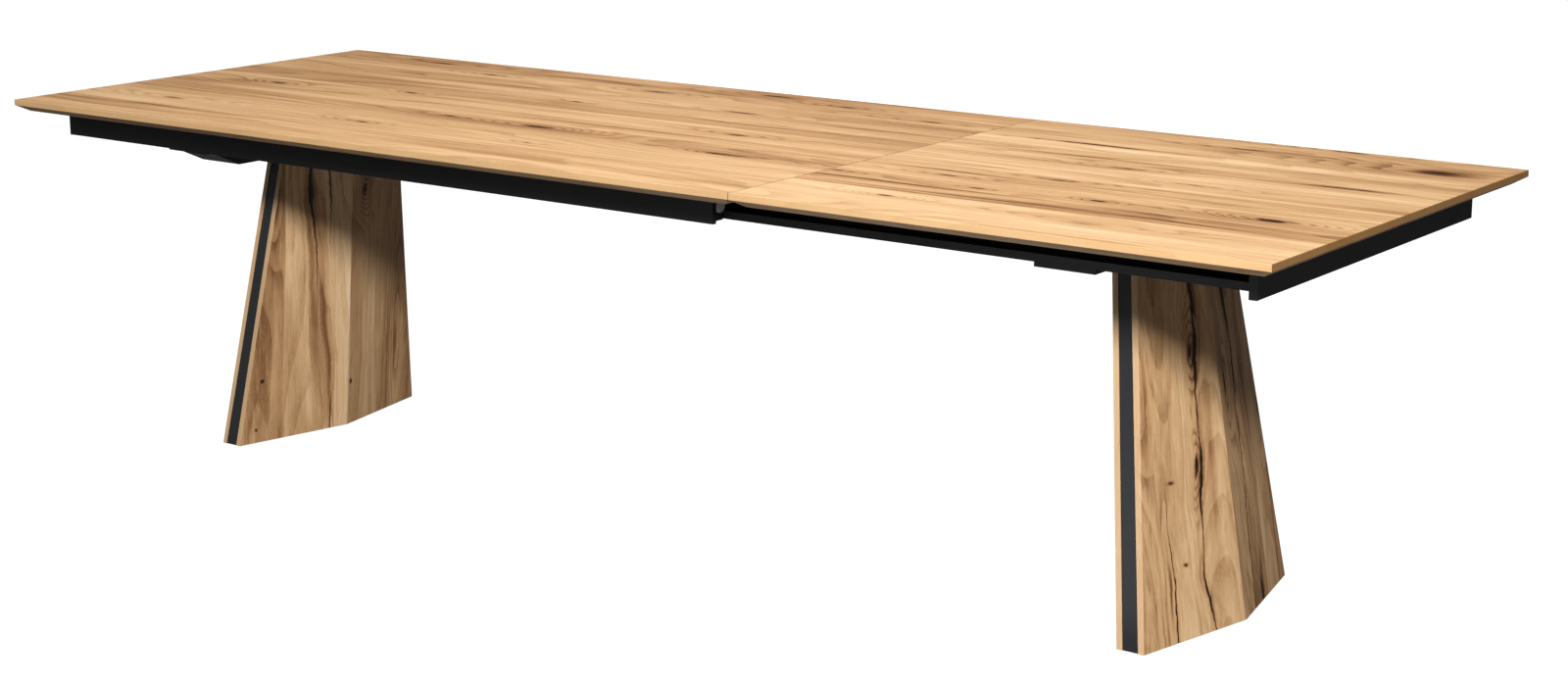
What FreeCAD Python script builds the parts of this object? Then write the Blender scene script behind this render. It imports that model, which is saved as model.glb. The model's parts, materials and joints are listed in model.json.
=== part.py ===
"""Extendable dining table: two oak panels on a telescopic steel frame with two folded oak feet.

The table stands drawn out, with its extension leaf laid on.  The main top, the outer rails and the
left foot are fixed together.  The carriage (inner rails, right end beam and right foot) slides under
them on four rollers, and the leaf is pushed up to the main top on four dowels.

Millimetres.  X runs along the table, Y across it and Z up.  The origin is on the floor under the
middle of the drawn-out table.
"""
import FreeCAD, Part
import math
import os

Vector = FreeCAD.Vector

# Overall sizes
main_top_length = 1890.0
leaf_length = 1010.0
table_width = 1000.0
table_height = 750.0
closing_overrun = 20.0

# Panels
panel_thickness = 25.0
panel_edge = 12.0
panel_undercut = 22.0
panel_round = 1.0
seam_gap = 0.4

# Frame of beams, fascias and rails
frame_end_inset = 65.0
frame_side_inset = 88.0
frame_depth = 55.0
end_beam_thickness = 15.0
fascia_thickness = 10.0
guide_width = 26.0
guide_wall = 3.0
guide_rise = 3.0
rail_width = 38.0
rail_wall = 3.0
rail_lip = 14.0
rail_side_gap = 1.0
rail_top_gap = 3.0
rail_bottom_gap = 1.5
closed_rail_gap = 15.0
closed_stop_gap = 2.0
running_gap = 0.3
end_cap_thickness = 4.0
cap_tongue_length = 12.0
cap_tongue_thickness = 3.0
cap_tongue_gap = 2.0
buffer_diameter = 22.0
buffer_length = 5.5
buffer_stem_diameter = 8.0
buffer_nose = 2.0

# Rollers
roller_width = 14.0
roller_rim = 1.0
roller_wall_gap = 4.0
axle_diameter = 10.0
axle_collar_step = 1.0
axle_ring_step = 2.0
axle_ring_thickness = 1.5
axle_clearance = 0.05
roller_nut_gap = 2.0
front_roller_inset = 38.0
front_wheel_inset = 8.0
tail_roller_inset = 25.0

# Cross members
crossbar_width = 115.0
crossbar_thickness = 8.0
crossbar_shift = 10.0
crossbar_end_gap = 1.0
glide_strip_thickness = 1.2
glide_strip_side_inset = 2.0
glide_strip_end_inset = 5.0
tie_bar_width = 60.0
tie_bar_thickness = 5.0
tie_bar_inset = 610.0
tail_tube_width = 40.0
tail_tube_height = 28.0
tail_tube_inset = 50.0
tail_tube_lift = 4.0
tube_wall = 3.0
stiffener_width = 80.0
stiffener_height = 31.0
spacer_width = 110.0
spacer_depth = 32.0
spacer_wall = 4.0
spacer_slope = 24.5
spacer_end_inset = 17.0

# Feet; their sizes at the top hold at the underside of the tops
foot_floor_inset = 349.0
foot_lean = 7.35
foot_half_length_floor = 263.0
foot_half_length_top = 155.7
foot_half_width_floor = 26.3
foot_half_width_top = 23.4
foot_fold = 12.0
foot_board = 11.0
foot_plate_thickness = 8.0
edge_bar_depth = 38.0
edge_bar_recess = 1.5
glue_line = 0.1
post_length = 100.0
post_width = 60.0
post_wall = 4.0
glide_height = 3.0
glide_diameter = 22.0
glide_pin_diameter = 6.0
glide_pin_length = 6.0
glide_end_inset = 20.0
glide_middle_spread = 40.0

# Fasteners and small parts
dowel_diameter = 8.0
dowel_length = 36.0
dowel_hole_clearance = 0.05
dowel_hole_spare = 2.0
dowel_tip = 1.0
dowel_count = 4
dowel_pitch = 230.0
panel_screw_diameter = 4.5
panel_screw_head = 8.0
panel_screw_length = 18.0
panel_screw_count = 5
screw_end_inset = 60.0
fascia_screw_diameter = 4.0
fascia_screw_head = 8.0
fascia_screw_head_height = 2.0
fascia_screw_drop = 24.0
fascia_screw_shift = 30.0
frame_bolt_diameter = 8.0
frame_bolt_head = 15.0
frame_nut_flats = 13.0
frame_nut_height = 5.5
foot_bolt_diameter = 10.0
foot_bolt_head = 17.0
foot_bolt_head_height = 6.0
foot_nut_height = 8.0
foot_bolt_pitch_x = 30.0
foot_bolt_pitch_y = 200.0
corner_block_length = 14.0
corner_bolt_diameter = 6.0
corner_bolt_head = 11.0
corner_bolt_pitch = 22.0
inlay_width = 30.0
inlay_height = 12.0
inlay_wall = 3.0
inlay_side_gap = 56.0
inlay_gap = 0.3
inlay_screw_length = 7.0
inlay_screw_inset = 40.0
main_inlay_places = (0.15, 0.5, 0.84)
leaf_inlay_places = (0.28, 0.72)
pad_length = 60.0
pad_width = 28.0
pad_places = (0.06, 0.45, 0.84)

# How far a cutting tool passes the face that it cuts
tool_pass = 1.0

# Places worked out from the sizes above
table_length = main_top_length + leaf_length
x_left = -table_length / 2
x_right = table_length / 2
seam_x = x_left + main_top_length
draw_travel = leaf_length + closing_overrun
half_width = table_width / 2
panel_underside = table_height - panel_thickness
frame_bottom = panel_underside - frame_depth
y_fascia = half_width - frame_side_inset
y_guide = y_fascia - fascia_thickness
y_guide_open = y_guide - guide_width
y_rail = y_guide_open - rail_side_gap
y_rail_web = y_rail - rail_width
guide_bottom = frame_bottom + guide_rise
guide_floor = guide_bottom + guide_wall
guide_roof = panel_underside - guide_wall
rail_bottom = guide_bottom + rail_bottom_gap
rail_top = panel_underside - rail_top_gap
rail_floor = rail_bottom + rail_wall
rail_roof = rail_top - rail_wall
left_beam_outer = x_left + frame_end_inset
left_beam_inner = left_beam_outer + end_beam_thickness
right_beam_outer = x_right - frame_end_inset
right_beam_inner = right_beam_outer - end_beam_thickness
closed_beam_inner = right_beam_inner - draw_travel
outer_rail_end = closed_beam_inner - closed_stop_gap
inner_rail_start = left_beam_inner + closed_rail_gap + draw_travel
inlay_reach = y_guide_open - inlay_side_gap
inlay_screw_y = inlay_reach - inlay_screw_inset
roller_floor_gap = frame_nut_height + roller_nut_gap
tail_roller_diameter = guide_roof - guide_floor - running_gap - roller_floor_gap
front_roller_diameter = rail_roof - rail_floor - running_gap - roller_floor_gap
tail_roller_x = inner_rail_start + tail_roller_inset
tail_roller_z = guide_roof - running_gap - tail_roller_diameter / 2
front_roller_x = outer_rail_end - front_roller_inset
front_roller_z = rail_roof - running_gap - front_roller_diameter / 2
left_foot_x = x_left + foot_floor_inset
right_foot_x = x_right - foot_floor_inset
lean_rate = math.tan(math.radians(foot_lean))
fold_rate = math.tan(math.radians(foot_fold))
foot_length_taper = (foot_half_length_floor - foot_half_length_top) / panel_underside
foot_width_taper = (foot_half_width_floor - foot_half_width_top) / panel_underside
board_in_x = foot_board / math.cos(math.radians(foot_fold))
right_foot_top = rail_bottom - crossbar_thickness
left_crossbar_bottom = guide_bottom - crossbar_thickness
left_foot_top = left_crossbar_bottom - spacer_depth
left_foot_top_x = left_foot_x + lean_rate * left_foot_top
right_foot_top_x = right_foot_x - lean_rate * right_foot_top
left_crossbar_x = left_foot_top_x - crossbar_shift
right_crossbar_x = right_foot_top_x + crossbar_shift
tie_bar_x = outer_rail_end - tie_bar_inset

os.makedirs("parts", exist_ok=True)


def box(x0, x1, y0, y1, z0, z1):
    """A block between two corners, given as pairs of X, Y and Z values."""
    return Part.makeBox(x1 - x0, y1 - y0, z1 - z0, Vector(x0, y0, z0))


def rod_x(radius, x0, x1, y, z):
    """A round bar along X."""
    return Part.makeCylinder(radius, x1 - x0, Vector(x0, y, z), Vector(1, 0, 0))


def rod_y(radius, x, y0, y1, z):
    """A round bar along Y."""
    return Part.makeCylinder(radius, y1 - y0, Vector(x, y0, z), Vector(0, 1, 0))


def rod_z(radius, x, y, z0, z1):
    """A round bar along Z."""
    return Part.makeCylinder(radius, z1 - z0, Vector(x, y, z0), Vector(0, 0, 1))


def hexagon_nut(flats, x, y, z0, z1):
    """A six-sided nut blank standing along Z."""
    radius = flats / math.sqrt(3)
    corners = []
    for turn in range(7):
        angle = math.radians(60 * turn)
        corners.append(Vector(x + radius * math.cos(angle), y + radius * math.sin(angle), z0))
    return Part.Face(Part.makePolygon(corners)).extrude(Vector(0, 0, z1 - z0))


def loft(lower, upper):
    """A straight-sided solid between two outlines with the same number of points."""
    wires = []
    for outline in (lower, upper):
        wires.append(Part.makePolygon(list(outline) + [outline[0]]))
    return Part.makeLoft(wires, True, True)


def cut(shape, tools):
    """The shape with each of the tools cut away."""
    return shape.cut(Part.makeCompound(list(tools)))


def fuse(shapes):
    """One solid from pieces that overlap or touch."""
    whole = shapes[0]
    for shape in shapes[1:]:
        whole = whole.fuse(shape)
    return whole.removeSplitter()


def far_copy(shape):
    """The same piece on the far long side of the table."""
    return shape.mirror(Vector(0, 0, 0), Vector(0, 1, 0))


def round_along_x(shape, radius):
    """Rounds the long edges of a bar that lies along X."""
    edges = []
    for edge in shape.Edges:
        low, high = edge.Vertexes[0].Point, edge.Vertexes[-1].Point
        if abs(high.y - low.y) < 1e-6 and abs(high.z - low.z) < 1e-6:
            edges.append(edge)
    return shape.makeFillet(radius, edges)


def round_along_y(shape, radius):
    """Rounds the long edges of a bar that lies along Y."""
    edges = []
    for edge in shape.Edges:
        low, high = edge.Vertexes[0].Point, edge.Vertexes[-1].Point
        if abs(high.x - low.x) < 1e-6 and abs(high.z - low.z) < 1e-6:
            edges.append(edge)
    return shape.makeFillet(radius, edges)


def save(name, *solids):
    """Writes one node as a STEP file; several solids make a group."""
    shape = solids[0] if len(solids) == 1 else Part.makeCompound(list(solids))
    shape.exportStep("parts/" + name + ".step")


# Panels ------------------------------------------------------------------------------------------

def panel(x0, x1):
    """A solid oak panel with a thin upright edge, undercut all round and eased along the top."""
    z_edge = table_height - panel_edge
    upper = box(x0, x1, -half_width, half_width, z_edge, table_height)
    rim = []
    for edge in upper.Edges:
        if min(vertex.Z for vertex in edge.Vertexes) > table_height - 1e-6:
            rim.append(edge)
    upper = upper.makeFillet(panel_round, rim)
    lower_outline = []
    upper_outline = []
    for sx, sy in ((0, -1), (1, -1), (1, 1), (0, 1)):
        x = x1 if sx else x0
        inward = -panel_undercut if sx else panel_undercut
        lower_outline.append(Vector(x + inward, sy * (half_width - panel_undercut), panel_underside))
        upper_outline.append(Vector(x, sy * half_width, z_edge))
    return fuse([upper, loft(lower_outline, upper_outline)])


def inlay_tools(x):
    """The groove for one inlaid steel channel, with its two screw holes."""
    half = inlay_width / 2 + inlay_gap
    reach = inlay_reach + inlay_gap
    top = panel_underside + inlay_height + inlay_gap
    tools = [box(x - half, x + half, -reach, reach, panel_underside - tool_pass, top)]
    for side in (-1, 1):
        tools.append(rod_z(panel_screw_diameter / 2, x, side * inlay_screw_y,
                           panel_underside, panel_underside + inlay_height + inlay_screw_length))
    return tools


def inlay_channel(x):
    """A steel channel let into the underside of a panel to keep it flat."""
    half = inlay_width / 2
    reach = inlay_reach
    top = panel_underside + inlay_height
    channel = box(x - half, x + half, -reach, reach, panel_underside, top)
    hollow = box(x - half + inlay_wall, x + half - inlay_wall, -reach - tool_pass, reach + tool_pass,
                 panel_underside - tool_pass, top - inlay_wall)
    holes = [hollow]
    for side in (-1, 1):
        holes.append(rod_z(panel_screw_diameter / 2, x, side * inlay_screw_y, panel_underside, top))
    return cut(channel, holes)


def inlay_screws(x):
    """The two screws that hold an inlaid channel, heads inside the channel."""
    screws = []
    roof = panel_underside + inlay_height - inlay_wall
    for side in (-1, 1):
        y = side * inlay_screw_y
        head = rod_z(panel_screw_head / 2, x, y, roof - fascia_screw_head_height, roof)
        shank = rod_z(panel_screw_diameter / 2, x, y, roof, panel_underside + inlay_height
                      + inlay_screw_length - inlay_gap)
        screws.append(fuse([head, shank]))
    return screws


def dowel_places():
    """The Y places of the seam dowels, spread evenly about the middle."""
    return [dowel_pitch * (index - (dowel_count - 1) / 2) for index in range(dowel_count)]


def panel_screw_places():
    """The X places of the screws up through each outer guide into the main top."""
    first = left_beam_inner + screw_end_inset
    step = (outer_rail_end - screw_end_inset - first) / (panel_screw_count - 1)
    return [first + step * index for index in range(panel_screw_count)]


dowel_z = table_height - panel_edge / 2
y_screw = (y_guide + y_guide_open) / 2
main_end = seam_x - seam_gap / 2
leaf_start = seam_x + seam_gap / 2
leaf_span = x_right - leaf_start
main_inlays = [x_left + share * main_top_length for share in main_inlay_places]
leaf_inlays = [leaf_start + share * leaf_span for share in leaf_inlay_places]

main_holes = []
for x in main_inlays:
    main_holes.extend(inlay_tools(x))
for y in dowel_places():
    depth = dowel_length / 2 + dowel_hole_spare
    main_holes.append(rod_x(dowel_diameter / 2 + dowel_hole_clearance, main_end - depth,
                            main_end + tool_pass, y, dowel_z))
for x in panel_screw_places():
    for side in (-1, 1):
        main_holes.append(rod_z(panel_screw_diameter / 2, x, side * y_screw,
                                panel_underside - tool_pass, panel_underside + panel_screw_length))
save("main_top_panel", cut(panel(x_left, main_end), main_holes))
save("main_top_stiffeners", *[inlay_channel(x) for x in main_inlays])
save("main_top_stiffener_screws", *[screw for x in main_inlays for screw in inlay_screws(x)])

leaf_holes = []
for x in leaf_inlays:
    leaf_holes.extend(inlay_tools(x))
for y in dowel_places():
    leaf_holes.append(rod_x(dowel_diameter / 2, leaf_start - tool_pass,
                            seam_x + dowel_length / 2, y, dowel_z))
save("leaf_panel", cut(panel(leaf_start, x_right), leaf_holes))
save("leaf_stiffeners", *[inlay_channel(x) for x in leaf_inlays])
save("leaf_stiffener_screws", *[screw for x in leaf_inlays for screw in inlay_screws(x)])

dowels = []
for y in dowel_places():
    dowel = rod_x(dowel_diameter / 2, seam_x - dowel_length / 2, seam_x + dowel_length / 2, y, dowel_z)
    tip = [edge for edge in dowel.Edges if abs(edge.BoundBox.XMax - dowel.BoundBox.XMin) < 1e-6]
    dowels.append(dowel.makeChamfer(dowel_tip, tip))
save("leaf_dowels", *dowels)

pads = []
pad_y = y_rail - rail_width / 2
for share in pad_places:
    x = leaf_start + share * leaf_span
    for side in (-1, 1):
        pads.append(box(x, x + pad_length, side * pad_y - pad_width / 2, side * pad_y + pad_width / 2,
                        rail_top + running_gap, panel_underside))
save("leaf_support_pads", *pads)


# Fixed frame under the main top ------------------------------------------------------------------

def corner_bolt_places(y_middle, z_middle):
    """The Y and Z places of the two bolts that hold a corner block."""
    return [(y_middle, z_middle - corner_bolt_pitch / 2), (y_middle, z_middle + corner_bolt_pitch / 2)]


def corner_bolt(y, z, x_outer, inward):
    """A flush bolt through an end beam into a corner block; inward is +1 or -1 along X."""
    head_height = (corner_bolt_head - corner_bolt_diameter) / 2
    length = end_beam_thickness + corner_block_length
    direction = Vector(inward, 0, 0)
    head = Part.makeCone(corner_bolt_head / 2, corner_bolt_diameter / 2, head_height,
                         Vector(x_outer, y, z), direction)
    shank = Part.makeCylinder(corner_bolt_diameter / 2, length, Vector(x_outer, y, z), direction)
    return fuse([head, shank])


def end_beam(x0, x1, top, bolts):
    """A flat beam across one end of the frame, with eased edges and countersunk bolt holes."""
    bar = round_along_y(box(x0, x1, -y_fascia, y_fascia, frame_bottom, top), panel_round)
    return cut(bar, bolts)


block_z = (guide_floor + guide_roof) / 2
left_places = corner_bolt_places(-y_screw, block_z)
left_bolts = [corner_bolt(y, z, left_beam_outer, 1) for y, z in left_places]
left_bolts += [far_copy(bolt) for bolt in left_bolts]
left_block = cut(box(left_beam_inner, left_beam_inner + corner_block_length, -y_guide + guide_wall,
                     -y_guide_open, guide_floor, guide_roof), left_bolts)
save("left_end_beam", end_beam(left_beam_outer, left_beam_inner, panel_underside, left_bolts))
save("left_corner_blocks", left_block, far_copy(left_block))
save("left_corner_bolts", *left_bolts)


def fascia_screw_places():
    """The X places of the screws that hold each fascia to its guide."""
    return [x - fascia_screw_shift for x in panel_screw_places()]


def fascia_screw(x):
    """A screw from inside the guide into the near fascia, head against the guide's web."""
    z = panel_underside - fascia_screw_drop - guide_wall
    web = -y_guide + guide_wall
    head = rod_y(fascia_screw_head / 2, x, web, web + fascia_screw_head_height, z)
    shank = rod_y(fascia_screw_diameter / 2, x, -y_fascia + guide_wall, web, z)
    return fuse([head, shank])


def panel_screw(x):
    """A flush screw up through the near guide's top flange into the main top."""
    head_height = (panel_screw_head - panel_screw_diameter) / 2
    head = Part.makeCone(panel_screw_head / 2, panel_screw_diameter / 2, head_height,
                         Vector(x, -y_screw, guide_roof), Vector(0, 0, 1))
    shank = rod_z(panel_screw_diameter / 2, x, -y_screw, guide_roof,
                  panel_underside + panel_screw_length)
    return fuse([head, shank])


def frame_bolt(x, y, z_low, z_high):
    """A flush bolt up through a crossbar, with a nut on the flange above it."""
    head_height = (frame_bolt_head - frame_bolt_diameter) / 2
    head = Part.makeCone(frame_bolt_head / 2, frame_bolt_diameter / 2, head_height,
                         Vector(x, y, z_low), Vector(0, 0, 1))
    shank = rod_z(frame_bolt_diameter / 2, x, y, z_low, z_high + frame_nut_height)
    nut = hexagon_nut(frame_nut_flats, x, y, z_high, z_high + frame_nut_height)
    return fuse([head, shank, nut])


fascia_screws = [fascia_screw(x) for x in fascia_screw_places()]
panel_screws = [panel_screw(x) for x in panel_screw_places()]
left_frame_bolts = []
for offset in (-1, 1):
    x = left_crossbar_x + offset * crossbar_width / 4
    left_frame_bolts.append(frame_bolt(x, -y_screw, left_crossbar_bottom, guide_floor))
tie_bolts = [frame_bolt(tie_bar_x, -y_screw, guide_bottom - tie_bar_thickness, guide_floor)]
front_axle_y = -y_guide

fascia = round_along_x(box(left_beam_inner, outer_rail_end, -y_fascia, -y_guide, frame_bottom,
                           panel_underside), panel_round)
fascia = cut(fascia, fascia_screws)
guide = box(left_beam_inner, outer_rail_end - end_cap_thickness - buffer_length, -y_guide,
            -y_guide_open, guide_bottom, panel_underside)
guide_end = guide.BoundBox.XMax
guide = cut(guide, [box(left_beam_inner - tool_pass, guide_end + tool_pass, -y_guide + guide_wall,
                        -y_guide_open + tool_pass, guide_floor, guide_roof)])
axle_hole = rod_y(axle_diameter / 2, front_roller_x, -y_guide - tool_pass,
                  -y_guide + guide_wall + tool_pass, front_roller_z)
guide = cut(guide, fascia_screws + panel_screws + left_frame_bolts + tie_bolts + [axle_hole])
save("outer_fascia_near", fascia)
save("outer_fascia_far", far_copy(fascia))
save("outer_guide_near", guide)
save("outer_guide_far", far_copy(guide))
save("fascia_screws", *fascia_screws, *[far_copy(screw) for screw in fascia_screws])
save("main_top_screws", *panel_screws, *[far_copy(screw) for screw in panel_screws])

buffer_z = (guide_bottom + panel_underside) / 2
cap = box(guide_end, guide_end + end_cap_thickness, -y_guide, -y_guide_open, guide_bottom,
          panel_underside)
tongue = box(guide_end - cap_tongue_length, guide_end, -y_guide + guide_wall,
             -y_guide + guide_wall + cap_tongue_thickness, guide_floor + cap_tongue_gap,
             guide_roof - cap_tongue_gap)
cap = fuse([cap, tongue])
stem = rod_x(buffer_stem_diameter / 2, guide_end, guide_end + end_cap_thickness, -y_screw, buffer_z)
cap = cut(cap, [stem])
buffer_face = closed_beam_inner - running_gap
head = rod_x(buffer_diameter / 2, guide_end + end_cap_thickness, buffer_face, -y_screw, buffer_z)
nose = [edge for edge in head.Edges if abs(edge.BoundBox.XMin - buffer_face) < 1e-6]
bumper = fuse([head.makeFillet(buffer_nose, nose), stem])
save("guide_end_caps", cap, far_copy(cap))
save("closing_buffers", bumper, far_copy(bumper))


def strip_pair(x, half):
    """Plastic glide strips on a cross member, one under each inner rail."""
    strip = box(x - half, x + half, -y_rail + glide_strip_side_inset,
                -y_rail_web - glide_strip_side_inset, guide_bottom,
                guide_bottom + glide_strip_thickness)
    return [strip, far_copy(strip)]


def foot_bolt_places(x):
    """The X and Y places of the four bolts that hold a foot."""
    places = []
    for sx in (-1, 1):
        for sy in (-1, 1):
            places.append((x + sx * foot_bolt_pitch_x / 2, sy * foot_bolt_pitch_y / 2))
    return places


def foot_bolts(x, z_low, z_high):
    """Four bolts up through the foot's top plate, heads below it and nuts above."""
    bolts = []
    for bolt_x, bolt_y in foot_bolt_places(x):
        head = hexagon_nut(foot_bolt_head, bolt_x, bolt_y, z_low - foot_bolt_head_height, z_low)
        shank = rod_z(foot_bolt_diameter / 2, bolt_x, bolt_y, z_low, z_high + foot_nut_height)
        nut = hexagon_nut(foot_bolt_head, bolt_x, bolt_y, z_high, z_high + foot_nut_height)
        bolts.append(fuse([head, shank, nut]))
    return bolts


left_foot_bolts = foot_bolts(left_foot_top_x, left_foot_top - foot_plate_thickness,
                             left_foot_top + spacer_wall)
right_foot_bolts = foot_bolts(right_foot_top_x, right_foot_top - foot_plate_thickness, rail_bottom)

left_bar = box(left_crossbar_x - crossbar_width / 2, left_crossbar_x + crossbar_width / 2,
               -y_guide + crossbar_end_gap, y_guide - crossbar_end_gap, left_crossbar_bottom, guide_bottom)
left_bar = round_along_y(left_bar, panel_round)
all_left_frame_bolts = left_frame_bolts + [far_copy(bolt) for bolt in left_frame_bolts]
save("left_crossbar", cut(left_bar, all_left_frame_bolts))
save("left_crossbar_bolts", *all_left_frame_bolts)


def spacer_outline(depth, inset, x):
    """The sloped-end outline of the spacer beam in the YZ plane, depth below the crossbar."""
    run = depth / math.tan(math.radians(spacer_slope))
    reach = y_guide - spacer_end_inset - inset
    points = []
    for y, z in ((-reach, 0), (-reach + run, -depth), (reach - run, -depth), (reach, 0)):
        points.append(Vector(x, y, left_crossbar_bottom + z))
    return points + points[:1]


slope_angle = math.radians(spacer_slope)
inner_inset = spacer_wall / math.sin(slope_angle)
shell = Part.Face(Part.makePolygon(spacer_outline(spacer_depth, 0, left_crossbar_x - spacer_width / 2)))
shell = shell.extrude(Vector(spacer_width, 0, 0))
core = Part.Face(Part.makePolygon(spacer_outline(spacer_depth - spacer_wall, inner_inset,
                                                 left_crossbar_x - spacer_width / 2 + spacer_wall)))
core = core.extrude(Vector(spacer_width - 2 * spacer_wall, 0, 0))
save("left_spacer_beam", cut(shell, [core] + left_foot_bolts))

tie = box(tie_bar_x - tie_bar_width / 2, tie_bar_x + tie_bar_width / 2, -y_guide + crossbar_end_gap,
          y_guide - crossbar_end_gap, guide_bottom - tie_bar_thickness, guide_bottom)
all_tie_bolts = tie_bolts + [far_copy(bolt) for bolt in tie_bolts]
save("tie_bar", cut(tie, all_tie_bolts))
save("tie_bar_bolts", *all_tie_bolts)
save("rail_glide_strips", *strip_pair(left_crossbar_x, crossbar_width / 2 - glide_strip_end_inset),
     *strip_pair(tie_bar_x, tie_bar_width / 2 - glide_strip_end_inset))


# Rollers and their axles -------------------------------------------------------------------------

def roller(diameter, x, y0, z):
    """A plastic roller with eased rims and a running bore."""
    wheel = rod_y(diameter / 2, x, y0, y0 + roller_width, z)
    rims = [edge for edge in wheel.Edges if len(edge.Vertexes) == 1]
    wheel = wheel.makeFillet(roller_rim, rims)
    return cut(wheel, [rod_y(axle_diameter / 2 + axle_clearance, x, y0 - tool_pass,
                        y0 + roller_width + tool_pass, z)])


def axle(x, z, wall_y, wall, wheel_y0, direction):
    """A shouldered axle fixed in a web at wall_y, with a ring that keeps the roller on.

    direction is +1 when the axle points inwards along +Y from the web and -1 when it points outwards.
    """
    wheel_y1 = wheel_y0 + roller_width
    if direction > 0:
        collar = (wall_y + wall, wheel_y0 - running_gap)
        shaft = (wall_y, wheel_y1 + running_gap + axle_ring_thickness)
        ring = (wheel_y1 + running_gap, wheel_y1 + running_gap + axle_ring_thickness)
    else:
        collar = (wheel_y1 + running_gap, wall_y)
        shaft = (wheel_y0 - running_gap - axle_ring_thickness, wall_y + wall)
        ring = (wheel_y0 - running_gap - axle_ring_thickness, wheel_y0 - running_gap)
    pieces = [rod_y(axle_diameter / 2, x, shaft[0], shaft[1], z)]
    pieces.append(rod_y(axle_diameter / 2 + axle_collar_step, x, collar[0], collar[1], z))
    pieces.append(rod_y(axle_diameter / 2 + axle_ring_step, x, ring[0], ring[1], z))
    return fuse(pieces)


front_wheel_y = -y_rail + front_wheel_inset
tail_wheel_y = -y_guide + guide_wall + roller_wall_gap
front_roller = roller(front_roller_diameter, front_roller_x, front_wheel_y, front_roller_z)
tail_roller = roller(tail_roller_diameter, tail_roller_x, tail_wheel_y, tail_roller_z)
front_axle = axle(front_roller_x, front_roller_z, -y_guide, guide_wall, front_wheel_y, 1)
tail_axle = axle(tail_roller_x, tail_roller_z, -y_rail_web - rail_wall, rail_wall, tail_wheel_y, -1)
save("front_roller_near", front_roller)
save("front_roller_far", far_copy(front_roller))
save("tail_roller_near", tail_roller)
save("tail_roller_far", far_copy(tail_roller))
save("front_roller_axles", front_axle, far_copy(front_axle))
save("tail_roller_axles", tail_axle, far_copy(tail_axle))


# Carriage ----------------------------------------------------------------------------------------

y_rail_middle = (y_rail + y_rail_web) / 2
right_block_z = (rail_floor + rail_roof) / 2
right_places = corner_bolt_places(-y_rail_middle, right_block_z)
right_bolts = [corner_bolt(y, z, right_beam_outer, -1) for y, z in right_places]
right_bolts += [far_copy(bolt) for bolt in right_bolts]
right_block = box(right_beam_inner - corner_block_length, right_beam_inner, -y_rail + rail_wall,
                  -y_rail_web - rail_wall, rail_floor, rail_roof)
right_block = cut(right_block, right_bolts)
save("right_end_beam", end_beam(right_beam_inner, right_beam_outer, rail_top, right_bolts))
save("right_corner_blocks", right_block, far_copy(right_block))
save("right_corner_bolts", *right_bolts)

right_frame_bolts = []
for offset in (-1, 1):
    x = right_crossbar_x + offset * crossbar_width / 4
    right_frame_bolts.append(frame_bolt(x, -y_rail_middle, right_foot_top, rail_floor))

rail = box(inner_rail_start, right_beam_inner, -y_rail, -y_rail_web, rail_bottom, rail_top)
rail_hollow = box(inner_rail_start - tool_pass, right_beam_inner + tool_pass, -y_rail + rail_wall,
                  -y_rail_web - rail_wall, rail_floor, rail_roof)
rail_mouth = box(inner_rail_start - tool_pass, right_beam_inner + tool_pass, -y_rail - tool_pass,
                 -y_rail + rail_wall + tool_pass, rail_bottom + rail_lip, rail_roof)
tail_hole = rod_y(axle_diameter / 2, tail_roller_x, -y_rail_web - rail_wall - tool_pass,
                  -y_rail_web + tool_pass, tail_roller_z)
rail = cut(rail, [rail_hollow, rail_mouth, tail_hole] + right_frame_bolts)
save("inner_rail_near", rail)
save("inner_rail_far", far_copy(rail))

right_bar = box(right_crossbar_x - crossbar_width / 2, right_crossbar_x + crossbar_width / 2, -y_rail,
                y_rail, right_foot_top, rail_bottom)
right_bar = round_along_y(right_bar, panel_round)
all_right_frame_bolts = right_frame_bolts + [far_copy(bolt) for bolt in right_frame_bolts]
save("right_crossbar", cut(right_bar, all_right_frame_bolts + right_foot_bolts))
save("right_crossbar_bolts", *all_right_frame_bolts)

stiffener = box(right_crossbar_x - stiffener_width / 2, right_crossbar_x + stiffener_width / 2,
                -y_rail_web, y_rail_web, rail_bottom, rail_bottom + stiffener_height)
stiffener_hollow = box(right_crossbar_x - stiffener_width / 2 + tube_wall,
                       right_crossbar_x + stiffener_width / 2 - tube_wall, -y_rail_web - tool_pass,
                       y_rail_web + tool_pass, rail_bottom - tool_pass,
                       rail_bottom + stiffener_height - tube_wall)
save("right_crossbar_stiffener", cut(stiffener, [stiffener_hollow]))

tube_x = inner_rail_start + tail_tube_inset
tube_z = rail_bottom + tail_tube_lift
tube = box(tube_x, tube_x + tail_tube_width, -y_rail_web, y_rail_web, tube_z, tube_z + tail_tube_height)
tube_bore = box(tube_x + tube_wall, tube_x + tail_tube_width - tube_wall, -y_rail_web - tool_pass,
                y_rail_web + tool_pass, tube_z + tube_wall, tube_z + tail_tube_height - tube_wall)
save("tail_cross_tube", cut(tube, [tube_bore]))


# Feet --------------------------------------------------------------------------------------------

def foot_level(x_floor, lean_sign, z):
    """The foot's middle X, half width at its ends and half length at a height."""
    x = x_floor + lean_sign * lean_rate * z
    return x, foot_half_width_floor - foot_width_taper * z, \
        foot_half_length_floor - foot_length_taper * z


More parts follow.
